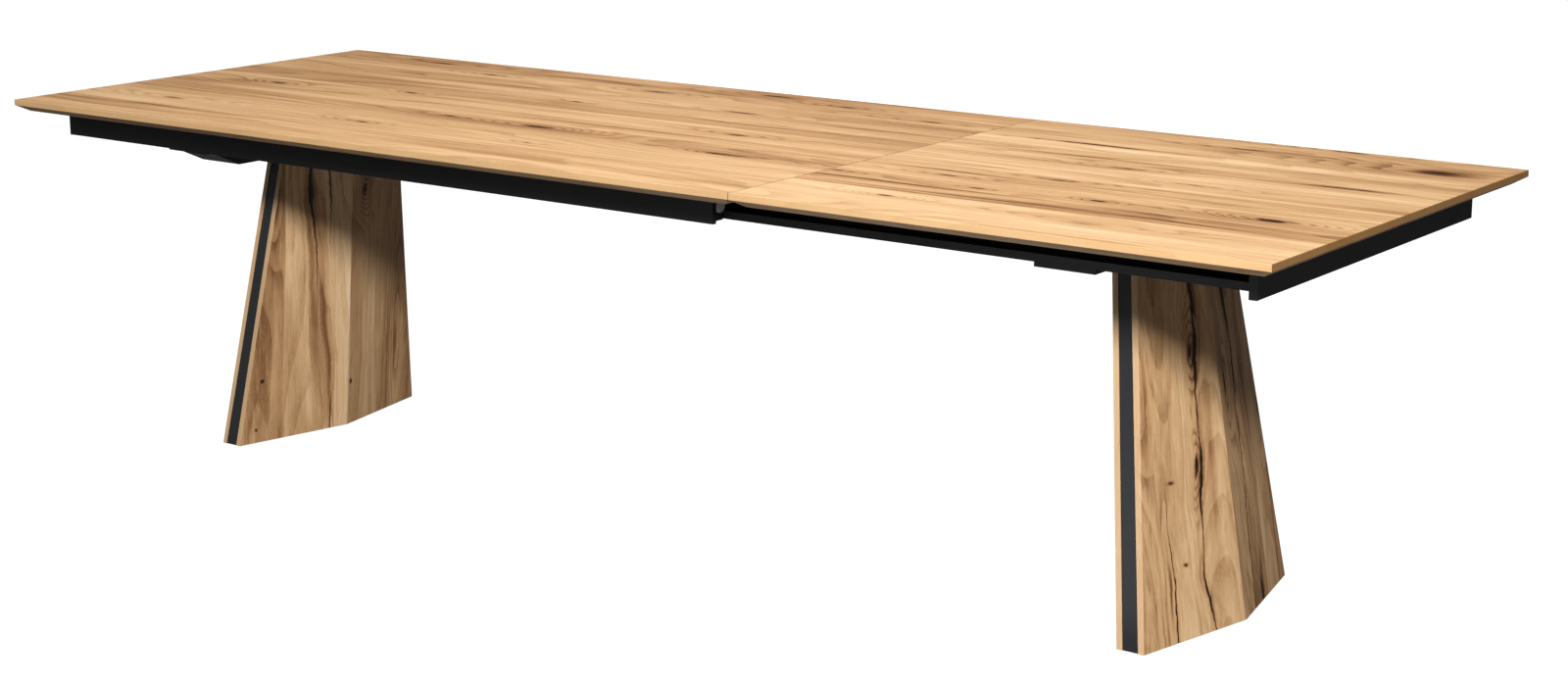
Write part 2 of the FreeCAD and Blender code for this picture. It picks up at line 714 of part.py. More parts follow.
def folded_panel(x_floor, lean_sign, face, z0, z1):
    """An oak panel folded at the foot's middle; face is -1 or +1, the side along X that it covers."""
    outlines = []
    for z in (z0, z1):
        x, width, length = foot_level(x_floor, lean_sign, z)
        outline = []
        for depth, places in ((0, (-1, 0, 1)), (board_in_x, (1, 0, -1))):
            for place in places:
                bulge = 0 if place else length * fold_rate
                outline.append(Vector(x + face * (width + bulge - depth), place * length, z))
        outlines.append(outline)
    return loft(outlines[0], outlines[1])


def edge_bar(x_floor, lean_sign, z0, z1):
    """The dark bar between the two oak panels at the near end of a foot."""
    outlines = []
    for z in (z0, z1):
        x, width, length = foot_level(x_floor, lean_sign, z)
        outline = []
        for depth, sign in ((edge_bar_recess, -1), (edge_bar_recess, 1),
                            (edge_bar_recess + edge_bar_depth, 1), (edge_bar_recess + edge_bar_depth, -1)):
            half = width - board_in_x - glue_line + depth * fold_rate
            outline.append(Vector(x + sign * half, -length + depth, z))
        outlines.append(outline)
    return loft(outlines[0], outlines[1])


def foot_plate(x_floor, lean_sign, z0, z1):
    """A steel plate that fills the foot between its panels and its two edge bars."""
    outlines = []
    for z in (z0, z1):
        x, width, length = foot_level(x_floor, lean_sign, z)
        depth = edge_bar_recess + edge_bar_depth + glue_line
        end_half = width - board_in_x - glue_line + depth * fold_rate
        middle_half = width - board_in_x - glue_line + length * fold_rate
        outline = []
        for half, y in ((-end_half, -length + depth), (end_half, -length + depth), (middle_half, 0),
                        (end_half, length - depth), (-end_half, length - depth), (-middle_half, 0)):
            outline.append(Vector(x + half, y, z))
        outlines.append(outline)
    return loft(outlines[0], outlines[1])


def foot_post(x_floor, lean_sign, z0, z1):
    """The leaning rectangular tube that carries the load inside a foot."""
    shells = []
    for inset in (0, post_wall):
        outlines = []
        for z in (z0, z1):
            x = foot_level(x_floor, lean_sign, z)[0]
            half_x = post_width / 2 - inset
            half_y = post_length / 2 - inset
            outlines.append([Vector(x - half_x, -half_y, z), Vector(x + half_x, -half_y, z),
                             Vector(x + half_x, half_y, z), Vector(x - half_x, half_y, z)])
        shells.append(loft(outlines[0], outlines[1]))
    return cut(shells[0], [shells[1]])


def foot_glides(x_floor, lean_sign):
    """Four plastic glides, each with a pin pressed up into the foot."""
    x, width, length = foot_level(x_floor, lean_sign, 0)
    places = [(x, -length + glide_end_inset), (x, length - glide_end_inset)]
    places += [(x - glide_middle_spread, 0), (x + glide_middle_spread, 0)]
    glides = []
    for glide_x, glide_y in places:
        pad = rod_z(glide_diameter / 2, glide_x, glide_y, 0, glide_height)
        pin = rod_z(glide_pin_diameter / 2, glide_x, glide_y, glide_height, glide_height + glide_pin_length)
        glides.append(fuse([pad, pin]))
    return glides


feet = (("left", left_foot_x, 1, left_foot_top, left_foot_bolts),
        ("right", right_foot_x, -1, right_foot_top, right_foot_bolts))
for side, x_floor, lean_sign, top, bolts in feet:
    glides = foot_glides(x_floor, lean_sign)
    plate_top = glide_height + foot_plate_thickness
    plate_low = top - foot_plate_thickness
    bar = cut(edge_bar(x_floor, lean_sign, glide_height, top), glides)
    outer = folded_panel(x_floor, lean_sign, -lean_sign, glide_height, top)
    inner = folded_panel(x_floor, lean_sign, lean_sign, glide_height, top)
    base = cut(foot_plate(x_floor, lean_sign, glide_height, plate_top), glides)
    head_plate = cut(foot_plate(x_floor, lean_sign, plate_low, top), bolts)
    save(side + "_foot_outer_panel", outer)
    save(side + "_foot_inner_panel", inner)
    save(side + "_foot_edge_bar_near", bar)
    save(side + "_foot_edge_bar_far", far_copy(bar))
    save(side + "_foot_post", foot_post(x_floor, lean_sign, plate_top, plate_low))
    save(side + "_foot_base_plate", base)
    save(side + "_foot_top_plate", head_plate)
    save(side + "_foot_bolts", *bolts)
    save(side + "_foot_glides", *glides)
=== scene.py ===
# %% [markdown]
# # An extendable oak dining table
# The table stands drawn out.  Its CAD model is loaded first and stays fixed: every steel beam, rail, bolt
# and roller is where the CAD says, and this script only gives it a finish.  The oak is the hard part, so
# most cells are about wood: how its figure is made from noise, and how a foot panel is built as a surface.

# %% Load the fixed frame
import json
import math

import bpy
import numpy as np
from mathutils import Matrix, Vector


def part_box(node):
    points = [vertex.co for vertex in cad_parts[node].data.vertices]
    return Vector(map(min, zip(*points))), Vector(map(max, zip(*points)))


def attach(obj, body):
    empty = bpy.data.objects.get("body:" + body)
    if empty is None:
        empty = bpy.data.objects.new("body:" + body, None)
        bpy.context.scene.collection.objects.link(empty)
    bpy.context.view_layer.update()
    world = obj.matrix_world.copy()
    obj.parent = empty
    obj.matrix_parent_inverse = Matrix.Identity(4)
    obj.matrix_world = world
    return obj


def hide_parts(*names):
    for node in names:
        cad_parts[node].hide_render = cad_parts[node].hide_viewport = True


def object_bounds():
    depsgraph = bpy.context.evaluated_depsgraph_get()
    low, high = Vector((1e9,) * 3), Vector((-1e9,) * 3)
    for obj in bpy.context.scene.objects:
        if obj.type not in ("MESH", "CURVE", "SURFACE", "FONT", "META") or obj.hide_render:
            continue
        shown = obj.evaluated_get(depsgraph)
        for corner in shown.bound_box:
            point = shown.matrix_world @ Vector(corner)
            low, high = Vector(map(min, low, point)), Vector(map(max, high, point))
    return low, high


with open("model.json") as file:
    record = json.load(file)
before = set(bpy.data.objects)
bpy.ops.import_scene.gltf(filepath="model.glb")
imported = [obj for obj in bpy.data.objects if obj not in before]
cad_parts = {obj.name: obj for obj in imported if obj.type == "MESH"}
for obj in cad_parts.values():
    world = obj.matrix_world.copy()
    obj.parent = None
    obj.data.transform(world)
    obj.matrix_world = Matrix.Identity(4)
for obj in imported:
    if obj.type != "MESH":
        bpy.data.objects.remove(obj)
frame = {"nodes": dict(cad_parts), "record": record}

# The loaded model brings plain materials.  They give up their names to the finishes made below.
for imported in bpy.data.materials:
    imported.name = "plain_" + imported.name

cad_low, cad_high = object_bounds()
print("CAD box in metres:", [round(high - low, 3) for low, high in zip(cad_low, cad_high)])

# %% [markdown]
# ## The camera
# A product picture is taken from standing height with a normal lens, a little down onto the top.  The
# camera could track an empty, but a place and three angles are easier to keep exact.  The rotation matrix
# has the camera's right, up and backward directions as its columns.  The lens is in millimetres, and its
# small shift is a share of the picture's width.

# %% Camera
camera_place = Vector((3.168, -4.017, 1.558))
camera_yaw = math.radians(36.453)
camera_pitch = math.radians(12.716)
camera_roll = math.radians(-0.172)
sensor_width = 36.0
lens_length = 61.49475
lens_shift = (-0.003875, -0.0238125)
nearest_seen = 0.05
farthest_seen = 200.0

forward = Vector((-math.sin(camera_yaw) * math.cos(camera_pitch),
                  math.cos(camera_yaw) * math.cos(camera_pitch),
                  -math.sin(camera_pitch)))
level_right = Vector((math.cos(camera_yaw), math.sin(camera_yaw), 0.0))
level_up = level_right.cross(forward)
right = math.cos(camera_roll) * level_right + math.sin(camera_roll) * level_up
up = right.cross(forward)

camera_data = bpy.data.cameras.new("picture_camera")
camera_data.sensor_width = sensor_width
camera_data.lens = lens_length
camera_data.shift_x = lens_shift[0]
camera_data.shift_y = lens_shift[1]
camera_data.clip_start = nearest_seen
camera_data.clip_end = farthest_seen
camera = bpy.data.objects.new("picture_camera", camera_data)
bpy.context.scene.collection.objects.link(camera)
camera.matrix_world = Matrix.Translation(camera_place) @ Matrix((right, up, -forward)).transposed().to_4x4()
bpy.context.scene.camera = camera
print("lens in millimetres:", round(camera_data.lens, 1))

# %% [markdown]
# ## Wiring shader nodes
# A finish is a formula, and here a formula is a chain of nodes.  Adding nodes one by one hides the
# formula, so a small class stands for a value on its way through the tree: adding or multiplying two such
# values adds the Math node that does it.  The formulas below then read as they would on paper.

# %% A value in a shader tree
class Flow:
    """A number that differs from place to place, as an output socket of a node tree."""

    def __init__(self, tree, socket):
        self.tree = tree
        self.socket = socket

    def math(self, operation, other=None, clamp=False):
        """The Math node with this value first; plain numbers go straight into its sockets."""
        node = self.tree.nodes.new("ShaderNodeMath")
        node.operation = operation
        node.use_clamp = clamp
        for socket, value in zip(node.inputs, (self, other)):
            connect(self.tree, socket, value)
        return Flow(self.tree, node.outputs[0])

    def __add__(self, other):
        return self.math("ADD", other)

    def __sub__(self, other):
        return self.math("SUBTRACT", other)

    def __mul__(self, other):
        return self.math("MULTIPLY", other)

    def between(self, low, high, out_low=0.0, out_high=1.0, smooth=True):
        """Out_low below low, out_high above high, and a smooth step from one to the other between."""
        node = self.tree.nodes.new("ShaderNodeMapRange")
        node.interpolation_type = "SMOOTHSTEP" if smooth else "LINEAR"
        for socket, value in zip(node.inputs, (self, low, high, out_low, out_high)):
            connect(self.tree, socket, value)
        return Flow(self.tree, node.outputs[0])


def connect(tree, socket, value):
    """Links a value that differs from place to place, or writes a plain number or colour."""
    if isinstance(value, Flow):
        tree.links.new(value.socket, socket)
    elif value is not None:
        socket.default_value = value


print("a value in a tree can:", [name for name in vars(Flow) if not name.startswith("__")])

# %% [markdown]
# A pattern has to know where it is.  Object coordinates are metres in the table's own frame, because every
# piece has its object at the origin, so one noise runs on from a board's face to its edge as real grain
# does.  The normal says which face that is, for the end grain.

# %% Nodes that read a place
def place_of(tree):
    """The X, Y and Z of the point in the table's own frame, in metres."""
    coordinates = tree.nodes.new("ShaderNodeTexCoord")
    parts = tree.nodes.new("ShaderNodeSeparateXYZ")
    tree.links.new(coordinates.outputs["Object"], parts.inputs[0])
    return [Flow(tree, socket) for socket in parts.outputs]


def facing_of(tree):
    """How squarely the surface faces along X, Y and Z, from 0 to 1 each."""
    coordinates = tree.nodes.new("ShaderNodeTexCoord")
    parts = tree.nodes.new("ShaderNodeSeparateXYZ")
    tree.links.new(coordinates.outputs["Normal"], parts.inputs[0])
    return [Flow(tree, socket).math("ABSOLUTE") for socket in parts.outputs]


def point(tree, x, y, z):
    """Three values as one vector."""
    node = tree.nodes.new("ShaderNodeCombineXYZ")
    for socket, value in zip(node.inputs, (x, y, z)):
        connect(tree, socket, value)
    return Flow(tree, node.outputs[0])


def noise(tree, x, y, z, detail=2.0, roughness=0.5, distortion=0.0):
    """Smooth noise from 0 to 1, at a point already scaled to the size of the pattern."""
    node = tree.nodes.new("ShaderNodeTexNoise")
    connect(tree, node.inputs["Vector"], point(tree, x, y, z))
    node.inputs["Scale"].default_value = 1.0
    node.inputs["Detail"].default_value = detail
    node.inputs["Roughness"].default_value = roughness
    node.inputs["Distortion"].default_value = distortion
    return Flow(tree, node.outputs["Fac"])


print("place helpers:", [helper.__name__ for helper in (place_of, facing_of, point, noise)])

# %% [markdown]
# Colours come in two ways: a ramp turns a lightness into the tones of a material that darkens through
# several hues, as oak does, and a mix is enough for paint and plastic.

# %% Nodes that make a colour
def ramp(tree, value, stops, interpolation="LINEAR"):
    """A colour for each value, from a list of (place, colour) stops."""
    node = tree.nodes.new("ShaderNodeValToRGB")
    node.color_ramp.interpolation = interpolation
    elements = node.color_ramp.elements
    while len(elements) < len(stops):
        elements.new(1.0)
    for element, (position, colour) in zip(elements, stops):
        element.position = position
        element.color = (*colour, 1.0)
    connect(tree, node.inputs[0], value)
    return Flow(tree, node.outputs[0])


def mix(tree, share, first, second, blend="MIX"):
    """The first colour where share is 0 and the second where it is 1.

    The Mix node has a set of sockets for each kind of value, and these are the numbers of the colour ones.
    """
    first_socket, second_socket, mixed_socket = 6, 7, 2
    node = tree.nodes.new("ShaderNodeMix")
    node.data_type = "RGBA"
    node.blend_type = blend
    connect(tree, node.inputs[0], share)
    for number, colour in ((first_socket, first), (second_socket, second)):
        connect(tree, node.inputs[number], colour if isinstance(colour, Flow) else (*colour, 1.0))
    return Flow(tree, node.outputs[mixed_socket])


def tinted(tree, share, colour, tint):
    """The colour where share is 0, and the colour multiplied by the tint where it is 1."""
    return mix(tree, share, colour, tint, "MULTIPLY")


print("colour helpers:", [helper.__name__ for helper in (ramp, mix, tinted)])

# %% [markdown]
# Every finish ends in one Principled shader, which holds for wood, paint and metal alike.  What differs from
# place to place is linked to it, and what is the same everywhere is written on its own sockets.

# %% A finish from its values
def finish_of(name, colour, roughness, height=None, relief=0.0, **constants):
    """A material around the Principled shader.

    colour, roughness and height come from the tree; relief is the height's size in metres, and the
    constants are written on the shader's own sockets.
    """
    material = bpy.data.materials[name]
    tree = material.node_tree
    shader = tree.nodes["Principled BSDF"]
    connect(tree, shader.inputs["Base Color"], colour)
    connect(tree, shader.inputs["Roughness"], roughness)
    for socket, value in constants.items():
        shader.inputs[socket.replace("_", " ")].default_value = value
    if height is not None:
        bump = tree.nodes.new("ShaderNodeBump")
        bump.inputs["Distance"].default_value = relief
        connect(tree, bump.inputs["Height"], height)
        tree.links.new(bump.outputs[0], shader.inputs["Normal"])
    return material


def new_tree(name):
    """The empty node tree of a new material."""
    material = bpy.data.materials.new(name)
    material.use_nodes = True
    return material.node_tree


print("finish helpers:", [helper.__name__ for helper in (finish_of, new_tree)])

# %% [markdown]
# ## Oak
# A board is a slice through a tree, so its figure is the slice's view of the growth rings.  A picture of
# wood would repeat and would need an image, and a wave texture looks like plastic wood.  Contour lines of
# a noise that is stretched along the board look right: where the noise is flat they open into the tall
# arches of flat-sawn oak, and where it is steep they run as straight lines.  A knot is a hill added to the
# noise, so the lines flow round it by themselves.  Each stave of a glued-up panel takes its figure from
# another place in the noise, and has its own tone.

# %% Oak colours and sizes
oak_tones = (
    (0.00, (0.018, 0.009, 0.005)),
    (0.16, (0.090, 0.038, 0.016)),
    (0.34, (0.250, 0.120, 0.050)),
    (0.50, (0.420, 0.232, 0.105)),
    (0.66, (0.560, 0.340, 0.168)),
    (0.82, (0.680, 0.445, 0.240)),
    (1.00, (0.780, 0.560, 0.340)),
)
end_grain_tints = ((0.330, 0.165, 0.050), (0.200, 0.095, 0.034))
edge_tints = ((0.560, 0.325, 0.140), (0.760, 0.500, 0.255))
foot_edge_tints = ((0.520, 0.330, 0.170), (0.700, 0.490, 0.290))
seam_tint = (0.42, 0.34, 0.26)

# Waves per metre along the grain, across it and into the board.
sway_pitch = (3.1, 9.0, 9.0)
ripple_pitch = (17.0, 40.0, 40.0)
ring_pitch = (0.62, 5.6, 5.6)
broad_pitch = (1.25, 17.0, 17.0)
fine_pitch = (5.5, 175.0, 175.0)
pore_pitch = (48.0, 1150.0, 1150.0)
fleck_pitch = (26.0, 170.0, 90.0)
streak_pitch = (0.8, 92.0, 92.0)

# How far apart in the noise two staves are at most.
seed_reach = 61.0

# How far, in metres, the two slow noises bend the grain and stretch it.
sway_bend = 0.016
ripple_bend = 0.0035
ripple_stretch = 0.012

# Rings: how many the noise's full height holds, how many a metre across adds, and how many a knot adds.
ring_hills = 15.0
ring_slope = 34.0
knot_hill = 3.2

# A knot's parts, as shares of the half length and half width of its mark.
knot_core = (0.42, 0.50)
knot_halo = (2.3, 1.7)
knot_rings = (2.6, 2.4)
core_darkness = 1.25

# What each part adds to the lightness or takes from it.
broad_strength = 0.95
fine_strength = 0.42
late_darkness = 0.115
pore_darkness = 0.12
fleck_lightness = 0.085
streak_darkness = 0.24
crack_side_darkness = 0.20
# The near-black of an open crack is painted shade, for the shadow deep in the crack.
painted_crack_shade = 0.75
print("oak tones:", len(oak_tones))

# %% [markdown]
# A tree doesn't grow straight, so the place is bent before any pattern reads it, and everything drawn later
# bends with it.  The staves could be separate pieces of mesh, but they are glued and sanded flush, so a ramp
# without blending across the panel gives each its values.  A mark is a soft oval, and a knot is three: a dark
# core, a halo and the hill that bends the rings.

# %% Bent grain, staves and marks
def spot(tree, along, across, centre, size):
    """A soft oval: e to the power of minus r squared, where r is 1 at the oval's half sizes."""
    x = (along - centre[0]) * (1.0 / size[0])
    y = (across - centre[1]) * (1.0 / size[1])
    squared = x * x + y * y
    return (squared * -1.0).math("EXPONENT")


def grain_noise(tree, board_place, pitch, shift, detail, roughness):
    """Noise at a place of the board, squeezed by its pitch and taken from another part by the shift."""
    along, across, depth = board_place
    return noise(tree, along * pitch[0] + shift, across * pitch[1], depth * pitch[2] + shift,
                 detail, roughness)


def bent_grain(tree, along, across, depth, grain_seed):
    """The place along and across the grain once two slow noises have bent it, and the quicker noise."""
    sway = noise(tree, along * sway_pitch[0], across * sway_pitch[1],
                 depth * sway_pitch[2] + grain_seed) - 0.5
    ripple = noise(tree, along * ripple_pitch[0], across * ripple_pitch[1],
                   depth * ripple_pitch[2] + grain_seed) - 0.5
    bent = across + sway * sway_bend + ripple * ripple_bend
    stretched = along + ripple * ripple_stretch
    return stretched, bent, ripple


def stave_values(tree, across, staves, span):
    """The tone, the seed and the figure of the stave that holds this place.

    All three come from one colour ramp without blending.  The seeds step so that no two staves of a panel
    share one.
    """
    seed_start = 0.31
    seed_step = 0.137
    stops = [(share, (tone, (seed_step * index + seed_start) % 1.0, figure))
             for index, (share, tone, figure) in enumerate(staves)]
    share = across.between(span[0], span[1], smooth=False)
    stave = ramp(tree, share, stops, "CONSTANT")
    parts = tree.nodes.new("ShaderNodeSeparateColor")
    tree.links.new(stave.socket, parts.inputs[0])
    return [Flow(tree, socket) for socket in parts.outputs]


def total(flows):
    """The sum of a list of values."""
    result = flows[0]
    for flow in flows[1:]:
        result = result + flow
    return result


def mark_oval(tree, stretched, bent, mark, shares=(1.0, 1.0)):
    """The soft oval of a mark, with its half length and half width multiplied by two shares."""
    return spot(tree, stretched, bent, mark[:2], (mark[2] * shares[0], mark[3] * shares[1]))


def knots_and_streaks(tree, stretched, bent, marks):
    """How much the marks darken the wood, their halos, and the hills that bend the rings round knots."""
    shades = []
    halos = []
    hills = []
    for mark in marks:
        darkness, hill = mark[4:]
        if hill:
            shades.append(mark_oval(tree, stretched, bent, mark, knot_core) * (darkness * core_darkness))
            halos.append(mark_oval(tree, stretched, bent, mark, knot_halo) * darkness)
            hills.append(mark_oval(tree, stretched, bent, mark, knot_rings) * hill)
        else:
            shades.append(mark_oval(tree, stretched, bent, mark) * darkness)
    return total(shades), total(halos), total(hills)


print("grain helpers:", [helper.__name__ for helper in (bent_grain, stave_values, knots_and_streaks)])

# %% [markdown]
# Everything meets in one number, the lightness of the wood.  Pores, rings and cracks could each have a colour
# of their own, but in real oak they are the same brown, seen deeper, so they are taken from the lightness and
# one ramp colours the result.  The near-black inside an open crack is painted shade, standing in for the
# shadow deep in the crack.

# %% Colour, roughness and height of an oak panel
def oak_values(tree, along, across, depth, staves, span, marks, lines=0, grain_seed=0.0, streaking=1.0):
    """Adds the nodes of one oak panel and returns its colour, roughness and height.

    along, across and depth are the point seen from the board.  staves are (share of the span, tone,
    figure) from one side of the span to the other.  marks are (along, across, half length, half width,
    darkness, hill), and those with a hill are knots: a small dark core in a wide halo of rings.  lines is
    how many crack attributes the mesh brings.
    The lightness is: stave tone + broad and fine streaks - ring lines - pores + flecks - dark streaks in the
    most figured staves - marks - halos - darker wood beside the cracks - painted shade inside the open
    cracks.
    """
    stretched, bent, ripple = bent_grain(tree, along, across, depth, grain_seed)
    tone, seed, figure = stave_values(tree, across, staves, span)
    shift = seed * seed_reach + grain_seed
    dark, halos, hills = knots_and_streaks(tree, stretched, bent, marks)

    board_place = (stretched, bent, depth)
    broad = grain_noise(tree, board_place, broad_pitch, shift, 4.0, 0.56)
    fine = grain_noise(tree, board_place, fine_pitch, shift, 3.0, 0.6)
    field = grain_noise(tree, board_place, ring_pitch, shift, 1.5, 0.45)
    pore_noise = grain_noise(tree, board_place, pore_pitch, shift, 2.0, 0.5)
    fleck_noise = grain_noise(tree, board_place, fleck_pitch, shift, 1.5, 0.5)
    streak_noise = grain_noise(tree, board_place, streak_pitch, shift, 2.0, 0.5)

    ring = (field * ring_hills + bent * ring_slope + hills * knot_hill).math("FRACT")
    late = ring.between(0.35, 0.96) * ring.between(1.0, 0.965)
    pores = pore_noise.between(0.56, 0.70) * (ring.between(0.15, 0.9) * 0.75 + 0.25)
    flecks = fleck_noise.between(0.63, 0.72) * figure
    streaks = streak_noise.between(0.54, 0.68) * figure.between(0.75, 1.0)

    light = tone + ((broad - 0.5) * broad_strength + (fine - 0.5) * fine_strength) * streaking
    light = light - late * late_darkness - pores * pore_darkness
    light = light + flecks * fleck_lightness - streaks * streak_darkness
    light = light - dark * (fine * 0.5 + 0.75) - halos * (late * 0.36 + broad * 0.34)
    groove = None
    for index in range(lines):
        attribute = tree.nodes.new("ShaderNodeAttribute")
        attribute.attribute_name = f"crack_{index}"
        near = (Flow(tree, attribute.outputs["Fac"]) + ripple * 1.6).math("ABSOLUTE")
        light = light - near.between(4.5, 0.4) * crack_side_darkness
        # Inside an open crack the wood is darkened as painted shade, for the shadow deep in the crack.
        open_crack = near.between(1.15, 0.55)
        groove = open_crack if groove is None else groove.math("MAXIMUM", open_crack)
    if groove is not None:
        light = light - groove * painted_crack_shade
    light = light.math("ADD", 0.0, clamp=True)
    colour = ramp(tree, light, oak_tones)
    height = pores * -0.6 - late * 0.25 + fine * 0.35
    roughness = light * -0.10 + pores * 0.12 + 0.57
    return colour, roughness, height


print("waves per metre across, slowest to finest:", sorted(
    pitch[1] for pitch in (sway_pitch, ripple_pitch, ring_pitch, broad_pitch, fine_pitch, pore_pitch,
                           fleck_pitch, streak_pitch)))

# %% [markdown]
# ## The two tops
# Both panels are the CAD model's own solids, because their undercut edges, dowel holes and the grooves
# for the steel channels are already right.  What they need is their boards.  Knots and streaks are listed:
# where they lie along the table, how far in from the far edge, and how long, wide and dark.

# %% Boards, knots and streaks of the tops
millimetre = 0.001
table_length = cad_high.x - cad_low.x
table_width = cad_high.y - cad_low.y

main_staves = (
    (0.000, 0.60, 0.4), (0.095, 0.68, 0.8), (0.180, 0.60, 0.3), (0.270, 0.66, 0.6),
    (0.355, 0.58, 0.2), (0.430, 0.66, 0.7), (0.520, 0.70, 0.5), (0.610, 0.58, 0.3),
    (0.690, 0.66, 0.8), (0.775, 0.72, 0.5), (0.865, 0.64, 0.6), (0.945, 0.72, 0.9),
)
main_marks = (
    (0.195, 0.145, 34, 7, 0.55, 1.0), (0.357, 0.135, 46, 9, 0.50, 1.0), (0.340, 0.345, 24, 5, 0.80, 0.6),
    (0.092, 0.505, 30, 9, 0.60, 1.0), (0.212, 0.448, 20, 5, 0.80, 0.8), (0.393, 0.640, 60, 14, 0.42, 2.2),
    (0.398, 0.640, 18, 4, 0.75, 0.0), (0.526, 0.500, 52, 10, 0.38, 1.4), (0.088, 0.790, 70, 15, 0.30, 1.5),
    (0.282, 0.795, 40, 8, 0.46, 1.2), (0.433, 0.800, 22, 4, 0.60, 0.6), (0.515, 0.085, 40, 9, 0.50, 1.0),
    (0.117, 0.060, 90, 14, 0.26, 1.0), (0.313, 0.640, 90, 9, 0.24, 0.6), (0.060, 0.520, 150, 40, 0.20, 1.0),
    (0.030, 0.580, 110, 30, 0.16, 0.0), (0.470, 0.270, 70, 11, 0.30, 1.2), (0.250, 0.250, 190, 8, 0.20, 0.0),
    (0.520, 0.385, 260, 4, 0.30, 0.0), (0.470, 0.560, 300, 5, 0.26, 0.0), (0.560, 0.690, 24, 5, 0.75, 0.8),
    (0.575, 0.690, 110, 12, 0.22, 1.0), (0.160, 0.880, 320, 7, 0.20, 0.0), (0.580, 0.300, 160, 12, 0.18, 0.0),
    (0.140, 0.330, 260, 14, 0.20, 0.0), (0.440, 0.045, 60, 8, 0.40, 0.8), (0.600, 0.150, 60, 9, 0.34, 1.0),
)
leaf_staves = (
    (0.000, 0.68, 0.4), (0.085, 0.66, 0.6), (0.195, 0.70, 0.3), (0.290, 0.68, 0.9),
    (0.370, 0.74, 0.7), (0.455, 0.70, 0.4), (0.530, 0.78, 0.6), (0.615, 0.72, 0.8),
    (0.690, 0.69, 0.9), (0.745, 0.62, 1.0), (0.820, 0.80, 0.7), (0.945, 0.75, 0.5),
)
leaf_marks = (
    (0.743, 0.205, 190, 6, 0.45, 0.0), (0.735, 0.205, 60, 6, 0.40, 0.8), (0.800, 0.400, 40, 8, 0.45, 1.2),
    (0.787, 0.570, 46, 8, 0.55, 1.2), (0.723, 0.640, 44, 6, 0.62, 1.0), (0.658, 0.710, 26, 5, 0.50, 0.8),
    (0.762, 0.717, 14, 4, 0.85, 0.5), (0.840, 0.703, 18, 6, 0.85, 0.9), (0.948, 0.695, 52, 15, 0.55, 2.4),
    (0.948, 0.695, 22, 5, 0.50, 0.0), (0.730, 0.865, 30, 9, 0.40, 1.8), (0.867, 0.890, 80, 14, 0.16, 1.6),
    (0.888, 0.010, 60, 10, 0.40, 1.0), (0.960, 0.125, 110, 38, 0.30, 1.6), (0.930, 0.360, 170, 9, 0.40, 0.6),
    (0.760, 0.330, 240, 4, 0.34, 0.0), (0.700, 0.600, 220, 4, 0.26, 0.0), (0.860, 0.560, 260, 5, 0.26, 0.0),
    (0.900, 0.610, 200, 9, 0.26, 0.8), (0.820, 0.790, 420, 10, 0.20, 0.0), (0.860, 0.480, 40, 6, 0.40, 1.0),
    (0.720, 0.750, 200, 5, 0.36, 0.0), (0.900, 0.255, 120, 7, 0.26, 0.8), (0.830, 0.090, 60, 7, 0.40, 0.8),
)


def on_the_top(marks):
    """Marks given as shares of the table and millimetres, as places and sizes in metres."""
    placed = []
    for share_along, share_in, half_length, half_width, darkness, hill in marks:
        x = cad_low.x + share_along * table_length
        y = cad_high.y - share_in * table_width
        placed.append((x, y, half_length * millimetre, half_width * millimetre, darkness, hill))
    return placed


seam_place = (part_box("main_top_panel")[1].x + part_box("leaf_panel")[0].x) / 2
seam_half_width = 0.3 * millimetre
seam_reach = 1.4 * millimetre


def oak_top(name, staves, marks, grain_seed, streaking):
    """The oak of one top: boards along X, end grain on the faces that look along X, a fine-lined edge on
    those that look along Y, and a dark line at the seam."""
    tree = new_tree(name)
    x, y, z = place_of(tree)
    colour, roughness, height = oak_values(
        tree, x, y, z, staves, (cad_high.y, cad_low.y), on_the_top(marks), grain_seed=grain_seed,
        streaking=streaking)
    facing_x, facing_y, _ = facing_of(tree)
    at_end = facing_x.between(0.35, 0.75)
    speckle = noise(tree, x * 60.0, y * 420.0, z * 420.0)
    end_colour = mix(tree, speckle.between(0.35, 0.70) * 0.45, *end_grain_tints)
    colour = mix(tree, at_end * 0.92, colour, end_colour)
    at_side = facing_y.between(0.55, 0.85)
    edge_lines = noise(tree, x * 5.0, y * 900.0, z * 900.0, 2.0, 0.6)
    edge_colour = mix(tree, edge_lines, *edge_tints)
    colour = mix(tree, at_side * 0.72, colour, edge_colour)
    from_seam = (x - seam_place).math("ABSOLUTE")
    colour = tinted(tree, from_seam.between(seam_reach, seam_half_width), colour, seam_tint)
    return finish_of(name, colour, roughness, height, relief=0.00022, Specular_IOR_Level=0.42)


finishes = {
    "main_top_oak": oak_top("main_top_oak", main_staves, main_marks, 3.0, 0.76),
    "leaf_oak": oak_top("leaf_oak", leaf_staves, leaf_marks, 11.0, 0.95),
}
print("marks on the tops:", len(main_marks) + len(leaf_marks))

# %% [markdown]
# ## Coated and bare metal
# The beams, rails and fascias are powder coated: plastic dust melted onto steel, which leaves a very fine
# orange-peel skin.  Real displacement of that size would need millions of faces, so it is a bump of two
# noises.  Bare steel and aluminium show the direction they were rolled or drawn in instead.

